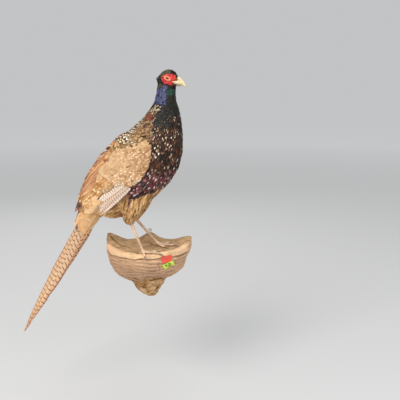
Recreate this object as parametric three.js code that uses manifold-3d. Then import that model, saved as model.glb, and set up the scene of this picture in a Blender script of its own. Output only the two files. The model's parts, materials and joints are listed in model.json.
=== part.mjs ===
// A cock pheasant, mounted as a museum shows it: standing upright on a wall console cut from a bracket
// fungus, with its tail hanging down beside the console. Millimetres, +Z up.
//
// The whole part's frame: the origin is the middle of the console's flat back, +Y runs into the wall, and +X
// is the way the bird faces. The bird has a frame of its own, x forward, y to its left and z up, whose origin
// is on its middle plane at the height that it stands on. BIRD_AT and BIRD_YAW place it over the console.
import * as THREE from "three";
import { mergeVertices } from "three/addons/utils/BufferGeometryUtils.js";
import Module from "manifold-3d";

const wasm = await Module();
wasm.setup();

// ---------------------------------------------------------------- driving dimensions
const GAP = 0.3; // between two pieces that touch
const SIMPLIFY = 0.05; // how far faces may move when small ones are merged
const BIRD_AT = new THREE.Vector3(0, -92, 50);
const BIRD_YAW = THREE.MathUtils.degToRad(-10); // the head is turned a little away from the wall
const RIGHT = -1; // the side of the bird that faces the room
const LEFT = 1;

// Rows of the body, from the skull to the tail's coverts: the point on the back, the point on the breast or
// belly (each x, z on the middle plane), half the width, and how square the section is (2 is an ellipse).
const BODY_ROWS = [
  { back: [31, 437], front: [64, 433], half: 14, square: 2.0 },
  { back: [25, 424], front: [69, 417], half: 18, square: 2.0 },
  { back: [20.5, 403], front: [68.5, 400], half: 21, square: 2.0 },
  { back: [15.5, 384], front: [70, 384], half: 24, square: 2.0 },
  { back: [4.5, 366], front: [76, 367], half: 31, square: 2.0 },
  { back: [-18, 339], front: [82, 341], half: 42, square: 2.0 },
  { back: [-48, 314], front: [85.5, 304], half: 52, square: 2.1 },
  { back: [-78, 291], front: [85, 260], half: 58, square: 2.1 },
  { back: [-106, 262], front: [75, 222], half: 61, square: 2.1 },
  { back: [-130, 233], front: [52, 185], half: 61, square: 2.1 },
  { back: [-149, 206], front: [22, 155], half: 58, square: 2.1 },
  { back: [-162, 183], front: [-10, 126], half: 53, square: 2.1 },
  { back: [-172, 160], front: [-45, 100], half: 46, square: 2.1 },
  { back: [-181, 133], front: [-88, 91], half: 38, square: 2.2 },
  { back: [-187, 109], front: [-114, 100], half: 31, square: 2.3 },
  { back: [-195, 85], front: [-134, 88], half: 27, square: 2.4 },
  { back: [-207, 58], front: [-152, 64], half: 22, square: 2.6 },
  { back: [-215, 40], front: [-166, 46], half: 16, square: 2.6 },
];
const RINGS_PER_ROW = 1;
const RING_POINTS = 22;
const HEAD_RING_POINTS = 20;

// Rows of the skull, from the back of the head to the bill's root.
const HEAD_ROWS = [
  { back: [23, 434], front: [23.5, 429], half: 4, square: 2.0 },
  { back: [29, 445], front: [27, 419], half: 12, square: 2.0 },
  { back: [38, 453.5], front: [35, 412], half: 16, square: 2.0 },
  { back: [48.5, 458], front: [45, 410], half: 17.2, square: 2.1 },
  { back: [59, 457], front: [55, 411], half: 16.2, square: 2.1 },
  { back: [67.5, 452], front: [63.5, 414], half: 13.5, square: 2.1 },
  { back: [72.5, 447], front: [70, 418.5], half: 10, square: 2.1 },
  { back: [74.5, 443.5], front: [73, 422], half: 8, square: 2.1 },
];
const UPPER_BILL_ROWS = [
  { back: [66, 445], front: [63, 427], half: 7.5, square: 2.2 },
  { back: [73, 442.5], front: [70.5, 425.5], half: 7.0, square: 2.2 },
  { back: [81, 437.5], front: [78, 422.5], half: 5.6, square: 2.1 },
  { back: [87.5, 430.5], front: [84.5, 420], half: 3.9, square: 2.0 },
  { back: [91.3, 423.5], front: [89, 418.2], half: 2.4, square: 2.0 },
  { back: [93.2, 417.6], front: [92, 415.8], half: 0.8, square: 2.0 },
];
const LOWER_BILL_ROWS = [
  { back: [63, 426.4], front: [63, 419.6], half: 6.5, square: 2.2 },
  { back: [69, 425.2], front: [69, 418.8], half: 5.8, square: 2.2 },
  { back: [75, 422.9], front: [75, 418.2], half: 4.3, square: 2.1 },
  { back: [80, 420.6], front: [80, 418], half: 2.5, square: 2.0 },
  { back: [83, 419.2], front: [83, 418], half: 1.0, square: 2.0 },
];
const BILL_RING_POINTS = 16;
const EYE = { x: 52, z: 436.3, side: 12.6, radius: 5.4 };
const WATTLE = { low: GAP, high: 1.9 }; // the bare red skin's sheet, measured from the head's surface
const WATTLE_OUTLINE = [
  [36, 437], [42, 443.5], [52, 447], [61, 447.5], [69, 444], [71, 437],
  [66, 430.5], [62.5, 422], [58, 414.5], [51, 414.5], [46, 421], [40, 430],
];
const NECK_CUTS = [
  { at: [45, 408], normal: [-0.05, 1] }, // head from neck
  { at: [40, 364], normal: [-0.1, 1] }, // neck from trunk
];
const RUMP_CUT = { at: [-160, 104], normal: [0.5, 0.87] }; // trunk from the tail's coverts

// The folded wing is a shell over the trunk. The outlines of the coverts and of the flight feathers are seen
// from the side, and the wing's upper edge runs along the back, closer to the middle at its tip.
const WING_REACH = 120; // past the body's widest place
const WING_THICK = 9;
const FLIGHT_THICK = 6;
const WING_OUTLINE = [
  [-20, 306], [8, 299], [21, 284], [24, 265], [20, 243], [8, 219], [-8, 199], [-28, 183],
  [-46, 172], [-70, 160], [-98, 142], [-122, 128], [-146, 114], [-172, 110], [-190, 116], [-200, 132],
  [-206, 160], [-176, 214], [-130, 268], [-70, 306],
];
const FLIGHT_OUTLINE = [
  [-36, 184], [-30, 178], [-54, 156], [-82, 131], [-114, 107], [-126, 103], [-146, 118], [-120, 140],
];
const WING_TOP_EDGE = { atFront: [0, 40], atTip: [-180, 5] }; // x, distance from the middle plane

// Thighs and legs, as points of the bird's frame with the side's y given without its sign.
const LEGS = {
  right: {
    side: RIGHT,
    thigh: [
      { at: [-24, 36, 158], long: 36, wide: 20 },
      { at: [-30, 38, 128], long: 31, wide: 20 },
      { at: [-35, 39, 108], long: 24, wide: 17 },
      { at: [-39, 39, 94], long: 15, wide: 12 },
      { at: [-39, 38, 86], long: 7, wide: 7 },
    ],
    heel: [-39, 38, 90],
    ball: [-9, 38],
    toes: [
      { name: "inner", turn: 24, length: 33, radius: 3.4, claw: 10 },
      { name: "middle", turn: -2, length: 45, radius: 3.8, claw: 12 },
      { name: "outer", turn: -62, length: 18, radius: 3.3, claw: 6 },
      { name: "hind", turn: 172, length: 12, radius: 2.8, claw: 8 },
    ],
  },
  left: {
    side: LEFT,
    thigh: [
      { at: [-25, 34, 150], long: 34, wide: 19 },
      { at: [-31, 35, 124], long: 27, wide: 18 },
      { at: [-37, 35, 104], long: 20, wide: 15 },
      { at: [-43, 34, 90], long: 13, wide: 11 },
      { at: [-46, 34, 81], long: 7, wide: 7 },
    ],
    heel: [-46, 34, 82],
    ball: [8, 36],
    toes: [
      { name: "inner", turn: -34, length: 32, radius: 3.4, claw: 10 },
      { name: "middle", turn: -2, length: 44, radius: 3.8, claw: 12 },
      { name: "outer", turn: 34, length: 33, radius: 3.3, claw: 10 },
      { name: "hind", turn: 182, length: 12, radius: 2.8, claw: 8 },
    ],
  },
};
const THIGH_TILT = 0.25; // how much higher a thigh's front is, as a share of its length
// A shank's rows: the share of the way from heel to ball, and the radius.
const SHANK_ROWS = [[0, 4.6], [0.08, 4.6], [0.2, 3.8], [0.5, 3.4], [0.8, 3.4], [0.93, 4.0], [1, 4.0]];
const TOE_JOINTS = [0.3, 0.55, 0.8, 1]; // shares of a toe's length
const TOE_TAPER = [1.15, 1.0, 0.92, 0.86, 0.66]; // shares of a toe's radius, from the ball to the last joint
const CLAW_RADII = [0.55, 0.52, 0.34]; // shares of the toe's radius
const CLAW_TIP = 0.5;
const BALL = { radius: 5.6, lift: 7.5 };
const SPUR = { along: 0.62, length: 8, radius: 2.2, root: 2.04, way: [-0.75, 0.6, -0.1] };
const LEG_SIDES = 8;
const TOE_SIDES = 6;

// The tail: its ridge runs down the middle plane and its two slopes hang from it like a steep roof. Each row
// is the ridge's x, z, the length of the slope that the long middle feathers make, and their thickness.
const TAIL_SLOPE = THREE.MathUtils.degToRad(25); // of each slope from the middle plane
const TAIL_ROWS = [
  { ridge: [-180, 112], slope: 36, thick: 4.2 },
  { ridge: [-199, 72], slope: 41, thick: 4.2 },
  { ridge: [-216, 42], slope: 42, thick: 4.0 },
  { ridge: [-244, -8], slope: 41, thick: 3.6 },
  { ridge: [-265, -44], slope: 38, thick: 3.2 },
  { ridge: [-283, -78], slope: 35, thick: 2.9 },
  { ridge: [-320, -145], slope: 26, thick: 2.4 },
  { ridge: [-348, -198], slope: 17, thick: 1.9 },
  { ridge: [-365, -234], slope: 6, thick: 1.1 },
];
// A section of the long feathers' layer: shares of the slope where it bulges and folds in.
const TAIL_SECTION = {
  shoulder: 0.35, bulgeAt: 0.7, bulge: 0.6, rim: 0.4, heel: 0.93, inside: 0.6, peak: 1.5,
};
// The shorter side feathers lie under the long ones and show below their edge: the ridge's rows that they
// start and end at, and where their sheet starts and ends on the slope.
const SIDE_TAIL = { first: 0.25, last: 3.6, steps: 8, from: 14, past: 4, thick: 3.2, taper: 0.55 };

// The console: half a round shelf with its flat back on the wall. The rows of its underside give how far each
// one reaches to the left, to the right and to the front of the shelf's middle, and its height.
const SHELF = { middle: -12, left: 111.5, right: 114, deep: 141, square: 2.15, level: 66 };
const SHELF_HUMP = { x: -9, width: 24, depth: 42, height: 19 }; // the raised lug that holds the hanger
const SHELF_CORNERS = { from: 0.5, left: 18, right: 9, leftDepth: 34, rightDepth: 46 };
const SHELF_LIP = { x: -25, width: 36, drop: 6 }; // where the front rim sinks
const SHELF_DISH = 4;
const SHELF_EDGE = 4.5; // how far the rim rounds down at its edge
const SHELF_LOBES = { depth: 0.02, count: 3, turn: 0.6 }; // the plan's slow waves
const RIM_BEND = { from: 0.95, drop: 900 }; // how toes bend down past this share of the plan
const TOP_RINGS = [0.3, 0.58, 0.8, 0.93];
const UNDERSIDE = [
  [112, 114, 141, 50], [110, 109, 139, 36], [107.5, 102, 131, 22], [104, 98, 118, 8], [98.5, 92, 101, -6],
  [92, 79, 85, -18], [82, 61, 71, -28], [70, 51, 63, -34], [52, 44, 59, -40], [42, 36, 50, -56],
  [34.5, 29, 40, -68], [24, 22, 28, -80], [12, 14, 14, -90],
];
const CONSOLE_TIP = [-7, -96];
const KNOB_CUT = { z: -44, normal: [0, 0.33, 0.94] }; // the plug of old bark below the last growth ring
const CONSOLE_SECTORS = 24;
const SCREW_EYE = { x: -8.5, y: -4, z: 92.5, ring: 3.3, wire: 0.9, shank: 14 };
const NAIL = { x: -14.5, y: -8, z: 93.5, head: 2.8, cap: 1.2, shaft: 1.0, length: 18 };
// Two paper labels on the console's front: their middles in x and z, width, height and turn.
const LABELS = [
  { name: "label_red", at: [42.5, 48], size: [25, 18], turn: 1, colour: "#e8503c" },
  { name: "label_yellow", at: [46, 30], size: [27, 15], turn: 22, colour: "#c9e84a" },
];
const LABEL_SHEET = { low: GAP, high: GAP + 0.55 };

const COLOURS = {
  head: ["#2d2f2a", 0.6], neck: ["#2a2f55", 0.4], trunk: ["#2e211b", 0.7], rump: ["#b98752", 0.8],
  thigh: ["#8a6638", 0.85], wing: ["#b8925f", 0.8], flight: ["#b59a86", 0.75], tail: ["#b58a5b", 0.75],
  bill: ["#d9cfa2", 0.45], eye: ["#b05f1c", 0.1], wattle: ["#cf2f2a", 0.6], leg: ["#b08f78", 0.6],
  claw: ["#4a3d33", 0.45], shelf: ["#a98668", 0.9], bark: ["#8c6b42", 0.9], metal: ["#b8b6ae", 0.35],
};

// ---------------------------------------------------------------- solids
// A closed solid of points and faces, with its faces turned to point out.
function solid(points, faces) {
  const vertProperties = new Float32Array(points.flatMap((p) => [p.x, p.y, p.z]));
  const build = (list) =>
    new wasm.Manifold(new wasm.Mesh({ numProp: 3, vertProperties, triVerts: new Uint32Array(list.flat()) }));
  const made = build(faces);
  return made.volume() > 0 ? made : build(faces.map(([a, b, c]) => [a, c, b]));
}

// A solid of a three.js geometry.
function solidOfGeometry(geometry) {
  const bare = new THREE.BufferGeometry().setAttribute("position", geometry.getAttribute("position"));
  bare.setIndex(geometry.index);
  const merged = mergeVertices(bare, 1e-4);
  const position = merged.getAttribute("position");
  const pointAt = (_, i) => new THREE.Vector3().fromBufferAttribute(position, i);
  const points = Array.from({ length: position.count }, pointAt);
  const faces = [];
  for (let i = 0; i < merged.index.count; i += 3) faces.push([0, 1, 2].map((k) => merged.index.getX(i + k)));
  return solid(points, faces);
}

// The triangles of a flat outline, each turning the way the outline does.
function flatFaces(ring) {
  const normal = vec(0, 0, 0);
  ring.forEach((p, i) => normal.add(p.clone().cross(ring[(i + 1) % ring.length])));
  const across = ring[1].clone().sub(ring[0]).normalize();
  const up = normal.normalize().clone().cross(across);
  const flat = ring.map((p) => new THREE.Vector2(p.dot(across), p.dot(up)));
  return THREE.ShapeUtils.triangulateShape([...flat], []).map(([a, b, c]) => {
    const turn = flat[b].clone().sub(flat[a]).cross(flat[c].clone().sub(flat[a]));
    return turn > 0 ? [a, b, c] : [a, c, b];
  });
}

// The solid between rings of points, each ring turning the same way, closed by a flat face at each end.
function loft(rings) {
  const count = rings[0].length;
  const faces = [];
  for (let i = 0; i + 1 < rings.length; i++) {
    for (let j = 0; j < count; j++) {
      const a = i * count + j;
      const b = i * count + ((j + 1) % count);
      faces.push([a, b, b + count], [a, b + count, a + count]);
    }
  }
  const last = (rings.length - 1) * count;
  for (const [a, b, c] of flatFaces(rings[0])) faces.push([c, b, a]);
  for (const [a, b, c] of flatFaces(rings[rings.length - 1])) faces.push([last + a, last + b, last + c]);
  return solid(rings.flat(), faces);
}

const vec = (x, y, z) => new THREE.Vector3(x, y, z);
const power = (value, exponent) => Math.sign(value) * Math.abs(value) ** exponent;

// A flat vector turned by an angle.
function turned(x, z, angle) {
  const cos = Math.cos(angle);
  const sin = Math.sin(angle);
  return [x * cos - z * sin, x * sin + z * cos];
}

// One value of the rows at a fractional row, on a smooth curve through the rows.
function along(rows, at, value) {
  const i = Math.min(Math.floor(at), rows.length - 2);
  const t = at - i;
  const pick = (k) => value(rows[THREE.MathUtils.clamp(k, 0, rows.length - 1)]);
  const [p0, p1, p2, p3] = [pick(i - 1), pick(i), pick(i + 1), pick(i + 2)];
  const slope0 = (p2 - p0) / 2;
  const slope1 = (p3 - p1) / 2;
  const t2 = t * t;
  const t3 = t2 * t;
  const ease = 3 * t2 - 2 * t3;
  return (1 - ease) * p1 + ease * p2 + (t3 - 2 * t2 + t) * slope0 + (t3 - t2) * slope1;
}

// The ring of a row table at a fractional row, grown outwards by grow.
function sectionRing(rows, at, grow, count) {
  const back = vec(along(rows, at, (r) => r.back[0]), 0, along(rows, at, (r) => r.back[1]));
  const front = vec(along(rows, at, (r) => r.front[0]), 0, along(rows, at, (r) => r.front[1]));
  const half = along(rows, at, (r) => r.half) + grow;
  const square = along(rows, at, (r) => r.square);
  const middle = back.clone().add(front).multiplyScalar(0.5);
  const up = back.clone().sub(front).multiplyScalar(0.5);
  up.setLength(up.length() + grow);
  return Array.from({ length: count }, (_, j) => {
    const angle = (2 * Math.PI * j) / count;
    return middle
      .clone()
      .addScaledVector(up, power(Math.cos(angle), 2 / square))
      .add(vec(0, half * power(Math.sin(angle), 2 / square), 0));
  });
}

// The solid of a row table, grown outwards all round and at both ends.
function rowSolid(rows, grow = 0, ringsPerRow = RINGS_PER_ROW, count = RING_POINTS) {
  const last = (rows.length - 1) * ringsPerRow;
  const rings = Array.from({ length: last + 1 }, (_, i) => sectionRing(rows, i / ringsPerRow, grow, count));
  const push = (ring, next) => {
    const away = middleOf(rings[ring]).sub(middleOf(rings[next])).setLength(grow);
    rings[ring].forEach((p) => p.add(away));
  };
  if (grow) {
    push(0, 1);
    push(last, last - 1);
  }
  return loft(rings);
}

function middleOf(ring) {
  return ring.reduce((sum, p) => sum.add(p), vec(0, 0, 0)).divideScalar(ring.length);
}

// A round limb through points, with a radius at each, all grown outwards by grow.
function limb(path, radii, sides = LEG_SIDES, grow = 0) {
  const points = path.map((p) => p.clone());
  const stretch = (end, next) => {
    const away = path[end].clone().sub(path[next]).normalize();
    points[end].addScaledVector(away, grow);
  };
  stretch(0, 1);
  stretch(path.length - 1, path.length - 2);
  const rings = points.map((p, i) => {
    const before = points[Math.max(i - 1, 0)];
    const after = points[Math.min(i + 1, points.length - 1)];
    const forward = after.clone().sub(before).normalize();
    const across = vec(0, 0, 1).cross(forward);
    if (across.length() < 0.05) across.set(0, 1, 0);
    across.normalize();
    const up = forward.clone().cross(across);
    return Array.from({ length: sides }, (_, j) => {
      const angle = (2 * Math.PI * j) / sides;
      const radius = radii[i] + grow;
      const outward = across.clone().multiplyScalar(Math.cos(angle)).addScaledVector(up, Math.sin(angle));
      return p.clone().addScaledVector(outward, radius);
    });
  });
  return loft(rings);
}

// A prism over an outline of x, z points on the bird's given side, from the middle plane outwards.
function sidePrism(outline, side, reach) {
  const shape = new THREE.Shape(outline.map(([x, z]) => new THREE.Vector2(x, z)));
  const geometry = new THREE.ExtrudeGeometry(shape, { depth: reach, bevelEnabled: false });
  geometry.rotateX(Math.PI / 2);
  if (side === LEFT) geometry.translate(0, reach, 0);
  return solidOfGeometry(geometry);
}

function smoothOutline(outline, count) {
  const curve = new THREE.SplineCurve([...outline, outline[0]].map(([x, z]) => new THREE.Vector2(x, z)));
  return curve.getPoints(count).slice(0, -1).map((p) => [p.x, p.y]);
}

function ball(x, y, z, radius, segments = 14) {
  const geometry = new THREE.SphereGeometry(radius, segments, Math.round(segments * 0.6));
  geometry.translate(x, y, z);
  return solidOfGeometry(geometry);
}

// Keeps what lies on the side that the normal points to, half a gap off the cut's plane.
function kept(body, cut, sign) {
  const normal = vec(cut.normal[0] * sign, 0, cut.normal[1] * sign).normalize();
  const offset = normal.dot(vec(cut.at[0], 0, cut.at[1])) + GAP / 2;
  return body.trimByPlane([normal.x, normal.y, normal.z], offset);
}

// The largest of a solid's separate pieces.
function largest(body) {
  return body.decompose().reduce((best, next) => (next.volume() > best.volume() ? next : best));
}

// ---------------------------------------------------------------- head, neck and trunk
const skull = (grow) => rowSolid(HEAD_ROWS, grow, 1, HEAD_RING_POINTS);
const flesh = (grow) => rowSolid(BODY_ROWS, grow).add(skull(grow));
const wholeBird = flesh(0);
const grownBird = flesh(GAP);
const grownBody = rowSolid(BODY_ROWS, GAP);

function makeEye(side, grow = 0) {
  return ball(EYE.x, side * EYE.side, EYE.z, EYE.radius + grow);
}

const eyeSockets = makeEye(RIGHT, GAP).add(makeEye(LEFT, GAP));

function makeWattle(side) {
  const sheet = skull(WATTLE.high).subtract(flesh(WATTLE.low));
  const outline = sidePrism(smoothOutline(WATTLE_OUTLINE, 24), side, 40);
  return largest(sheet.intersect(outline).subtract(eyeSockets));
}

function makeBill(rows) {
  return largest(rowSolid(rows, 0, RINGS_PER_ROW, BILL_RING_POINTS).subtract(grownBird));
}

// ---------------------------------------------------------------- wings
function wingShell(thick, outline, side) {
  const wide = sidePrism(smoothOutline(outline, outline.length * 2), side, WING_REACH);
  const shell = rowSolid(BODY_ROWS, thick).intersect(wide).subtract(grownBody);
  const { atFront, atTip } = WING_TOP_EDGE;
  const normal = vec(atTip[1] - atFront[1], atFront[0] - atTip[0], 0).normalize().multiply(vec(1, side, 1));
  const offset = normal.dot(vec(atFront[0], side * atFront[1], 0));
  return shell.trimByPlane([normal.x, normal.y, normal.z], offset);
}

function growOutline(outline, by) {
  const cx = outline.reduce((s, p) => s + p[0], 0) / outline.length;
  const cz = outline.reduce((s, p) => s + p[1], 0) / outline.length;
  return outline.map(([x, z]) => {
    const length = Math.hypot(x - cx, z - cz);
    return [x + ((x - cx) / length) * by, z + ((z - cz) / length) * by];
  });
}

function makeWing(side) {
  return largest(wingShell(WING_THICK, WING_OUTLINE, side));
}

function makeFlight(side) {
  const outline = smoothOutline(growOutline(WING_OUTLINE, GAP * 2), WING_OUTLINE.length * 2);
  const coverts = sidePrism(outline, side, WING_REACH + 1);
  return largest(wingShell(FLIGHT_THICK, FLIGHT_OUTLINE, side).subtract(coverts));
}

// ---------------------------------------------------------------- tail
// The tail's frame at a fractional row: the ridge, the way down each slope, and the layer's inward normal.
function tailFrame(at) {
  const value = (place, pick) => along(TAIL_ROWS, place, pick);
  const ridgeAt = (place) => vec(value(place, (r) => r.ridge[0]), 0, value(place, (r) => r.ridge[1]));
  const tipward = ridgeAt(at + 0.05).sub(ridgeAt(at - 0.05)).normalize();
  const belly = vec(-tipward.z, 0, tipward.x); // down from the ridge, towards the tail's underside
  return { ridge: ridgeAt(at), belly, slope: value(at, (r) => r.slope), thick: value(at, (r) => r.thick) };
}

// A point on a slope: how far down it, on which side, and how deep under its outer face.
function onSlope(frame, side, down, deep) {
  const cos = Math.cos(TAIL_SLOPE);
  const sin = Math.sin(TAIL_SLOPE);
  const way = frame.belly.clone().multiplyScalar(cos).add(vec(0, side * sin, 0));
  const inward = frame.belly.clone().multiplyScalar(sin).add(vec(0, -side * cos, 0));
  return frame.ridge.clone().addScaledVector(way, down).addScaledVector(inward, deep);
}

function makeMiddleTail(grow = 0) {
  const last = TAIL_ROWS.length - 1;
  const { shoulder, bulgeAt, bulge, rim, heel, inside, peak } = TAIL_SECTION;
  const rings = [];
  for (let i = 0; i <= last * RINGS_PER_ROW; i++) {
    const frame = tailFrame(Math.min(i / RINGS_PER_ROW, last - 1e-6));
    const at = (side, share, deep) => {
      const down = frame.slope * share + (share < heel ? 0 : grow);
      return onSlope(frame, side, down, deep);
    };
    const inner = frame.thick + grow;
    const ridgeIn = frame.ridge.clone().addScaledVector(frame.belly, inner / Math.sin(TAIL_SLOPE));
    const ridgeOut = frame.ridge.clone().addScaledVector(frame.belly, -grow * peak);
    const half = (side) => [
      at(side, shoulder, -grow), at(side, bulgeAt, -grow - bulge), at(side, 1, frame.thick * rim - grow),
      at(side, heel, inner), at(side, inside, inner),
    ];
    rings.push([ridgeOut, ...half(RIGHT), ridgeIn, ...half(LEFT).reverse()]);
  }
  if (grow) rings.unshift(rings[0].map((p) => p.clone().add(vec(grow / 2, 0, grow * peak))));
  return loft(rings);
}

function makeSideTail(side, grow = 0) {
  const rings = [];
  for (let i = 0; i <= SIDE_TAIL.steps; i++) {
    const share = i / SIDE_TAIL.steps;
    const frame = tailFrame(THREE.MathUtils.lerp(SIDE_TAIL.first, SIDE_TAIL.last, share));
    const taper = 1 - SIDE_TAIL.taper * share ** 3;
    const top = frame.thick + GAP - grow;
    const low = frame.thick + GAP + SIDE_TAIL.thick * taper + grow;
    const from = SIDE_TAIL.from - grow;
    const end = frame.slope + SIDE_TAIL.past * taper + grow;
    rings.push([
      onSlope(frame, side, from, top),
      onSlope(frame, side, (from + end) / 2, top),
      onSlope(frame, side, end, top),
      onSlope(frame, side, end - 1, low),
      onSlope(frame, side, (from + end) / 2, low),
      onSlope(frame, side, from + 2, low),
    ]);
  }
  return loft(rings).trimByPlane([0, side, 0], GAP / 2 - grow);
}

// ---------------------------------------------------------------- console
function shelfTop(x, y) {
  const across = x - SHELF.middle;
  const share = Math.abs(across) / (across < 0 ? SHELF.left : SHELF.right);
  const bell = (distance, width) => Math.exp(-((distance / width) ** 2));
  const hump = SHELF_HUMP.height * bell(x - SHELF_HUMP.x, SHELF_HUMP.width) * bell(y, SHELF_HUMP.depth);
  const rise = across < 0 ? SHELF_CORNERS.left : SHELF_CORNERS.right;
  const reach = across < 0 ? SHELF_CORNERS.leftDepth : SHELF_CORNERS.rightDepth;
  const corner = rise * THREE.MathUtils.smoothstep(share, SHELF_CORNERS.from, 1) * bell(y, reach);
  const front = Math.min(1, -y / SHELF.deep);
  const lip = SHELF_LIP.drop * bell(x - SHELF_LIP.x, SHELF_LIP.width) * front ** 3;
  const dish = SHELF_DISH * Math.max(0, 1 - share ** 2) * Math.sin(Math.PI * front);
  return SHELF.level + hump + corner - dish - lip;
}

// A point of the console's plan, at an angle from +X round the front to -X.
function shelfPoint(angle, left, right, deep) {
  const cos = power(Math.cos(angle), 2 / SHELF.square);
  const sin = power(Math.sin(angle), 2 / SHELF.square);
  const wave = Math.sin(SHELF_LOBES.count * angle + SHELF_LOBES.turn) * Math.sin(angle);
  const lobes = 1 + SHELF_LOBES.depth * wave;
  return [SHELF.middle + (cos < 0 ? left : right) * cos * lobes, -deep * sin * lobes];
}

function makeConsole(grow = 0) {
  const angles = Array.from({ length: CONSOLE_SECTORS + 1 }, (_, j) => (Math.PI * j) / CONSOLE_SECTORS);
  const row = (left, right, deep, height) => angles.map((angle) => {
    const [x, y] = shelfPoint(angle, left + grow, right + grow, deep + grow);
    return vec(x, y, height(x, y));
  });
  const topRow = (share, drop) => {
    const reach = [SHELF.left, SHELF.right, SHELF.deep].map((value) => value * share);
    return row(...reach, (x, y) => shelfTop(x, y) - drop + grow);
  };
  const rows = [
    ...TOP_RINGS.map((share) => topRow(share, 0)),
    topRow(1, SHELF_EDGE),
    ...UNDERSIDE.map(([left, right, deep, z]) => row(left, right, deep, () => z)),
  ];
  const count = CONSOLE_SECTORS + 1;
  const top = vec(SHELF.middle, 0, shelfTop(SHELF.middle, 0) + grow);
  const points = [top, ...rows.flat(), vec(CONSOLE_TIP[0], 0, CONSOLE_TIP[1] - grow)];
  const tip = points.length - 1;
  const index = (i, j) => 1 + i * count + j;
  const faces = [];
  for (let j = 0; j < CONSOLE_SECTORS; j++) {
    faces.push([0, index(0, j + 1), index(0, j)]);
    for (let i = 0; i + 1 < rows.length; i++) {
      faces.push([index(i, j), index(i, j + 1), index(i + 1, j + 1)]);
      faces.push([index(i, j), index(i + 1, j + 1), index(i + 1, j)]);
    }
    faces.push([index(rows.length - 1, j), index(rows.length - 1, j + 1), tip]);
  }
  // The flat back, between the two ends of every row.
  const right = rows.map((_, i) => index(i, 0));
  const left = rows.map((_, i) => index(i, CONSOLE_SECTORS)).reverse();
  const border = [0, ...right, tip, ...left];
  for (const face of flatFaces(border.map((k) => points[k]))) faces.push(face.map((k) => border[k]));
  return solid(points, faces);
}

// A round solid about an upright axis at x, y, from radius and height pairs.
function turnedSolid(profile, x, y, z, segments) {
  const geometry = new THREE.LatheGeometry(profile.map(([r, h]) => new THREE.Vector2(r, h)), segments);
  geometry.rotateX(Math.PI / 2);
  geometry.translate(x, y, z);
  return solidOfGeometry(geometry);
}

// The hanger is a screw eye in the lug, with a pale nail standing beside it.
function makeHangerEye(grow = 0) {
  const { x, y, z, ring, shank } = SCREW_EYE;
  const wire = SCREW_EYE.wire + grow;
  const geometry = new THREE.TorusGeometry(ring, wire, 6, 16);
  geometry.rotateX(Math.PI / 2);
  geometry.translate(x, y, z);
  const low = -ring - shank - grow;
  const high = -ring + wire / 4;
  const stem = turnedSolid([[0, low], [wire, low], [wire, high], [0, high]], x, y, z, 10);
  return solidOfGeometry(geometry).add(stem);
}

function makeNail(grow = 0) {
  const head = NAIL.head + grow;
  const shaft = NAIL.shaft + grow;
  const profile = [
    [0, -NAIL.length - grow], [shaft, -NAIL.length - grow], [shaft, -NAIL.cap - grow],
    [head, -NAIL.cap - grow], [head * 0.92, 0], [head * 0.5, NAIL.cap], [0, NAIL.cap + 0.3 + grow],
  ];
  return turnedSolid(profile, NAIL.x, NAIL.y, NAIL.z, 12);
}

function labelPrism(label, grow = 0) {
  const angle = THREE.MathUtils.degToRad(label.turn);
  const [w, h] = label.size.map((v) => v / 2 + grow);
  const corners = [[-w, -h], [w, -h], [w, h], [-w, h]].map(([x, z]) => {
    const [u, v] = turned(x, z, angle);
    return new THREE.Vector2(label.at[0] + u, label.at[1] + v);
  });
  const geometry = new THREE.ExtrudeGeometry(new THREE.Shape(corners), { depth: 200, bevelEnabled: false });
  geometry.rotateX(Math.PI / 2);
  geometry.translate(0, -20, 0);
  return solidOfGeometry(geometry);
}

const labelSheet = makeConsole(LABEL_SHEET.high).subtract(makeConsole(LABEL_SHEET.low));

// A label's sheet on the console, cut off where an earlier label lies.
function makeLabel(label, earlier) {
  const sheet = labelSheet.intersect(labelPrism(label));
  return largest(earlier.reduce((left, next) => left.subtract(labelPrism(next, GAP)), sheet));
}

// ---------------------------------------------------------------- legs and feet
const yawCos = Math.cos(BIRD_YAW);
const yawSin = Math.sin(BIRD_YAW);

// The height, in the bird's frame, of the console's surface under a point of the bird's frame.
function surfaceUnder(x, y) {
  const worldX = BIRD_AT.x + x * yawCos - y * yawSin;
  const worldY = BIRD_AT.y + x * yawSin + y * yawCos;
  const across = Math.abs(worldX - SHELF.middle) / (worldX < SHELF.middle ? SHELF.left : SHELF.right);
  const out = Math.abs(worldY / SHELF.deep);
  const reach = (across ** SHELF.square + out ** SHELF.square) ** (1 / SHELF.square);
  const over = Math.max(0, reach - RIM_BEND.from);
  return shelfTop(worldX, worldY) - RIM_BEND.drop * over * over - BIRD_AT.z;
}

function makeThigh(leg, grow = 0) {
  const rings = leg.thigh.map(({ at, long, wide }) =>
    Array.from({ length: RING_POINTS }, (_, j) => {
      const angle = (2 * Math.PI * j) / RING_POINTS;
      return vec(
        at[0] + (long + grow) * Math.cos(angle),
        leg.side * at[1] + (wide + grow) * Math.sin(angle),
        at[2] + THIGH_TILT * long * Math.cos(angle),
      );
    }),
  );
  return loft(rings);
}

function legPlaces(leg) {
  const heel = vec(leg.heel[0], leg.side * leg.heel[1], leg.heel[2]);
  const ballXY = vec(leg.ball[0], leg.side * leg.ball[1], 0);
  const ballAt = vec(ballXY.x, ballXY.y, surfaceUnder(ballXY.x, ballXY.y) + BALL.lift);
  return { heel, ballAt };
}

function makeShank(leg, grow = 0) {
  const { heel, ballAt } = legPlaces(leg);
  const path = SHANK_ROWS.map(([share]) => heel.clone().lerp(ballAt, share));
  const radii = SHANK_ROWS.map(([, radius]) => radius);
  return limb(path, radii, LEG_SIDES, grow);
}

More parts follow.
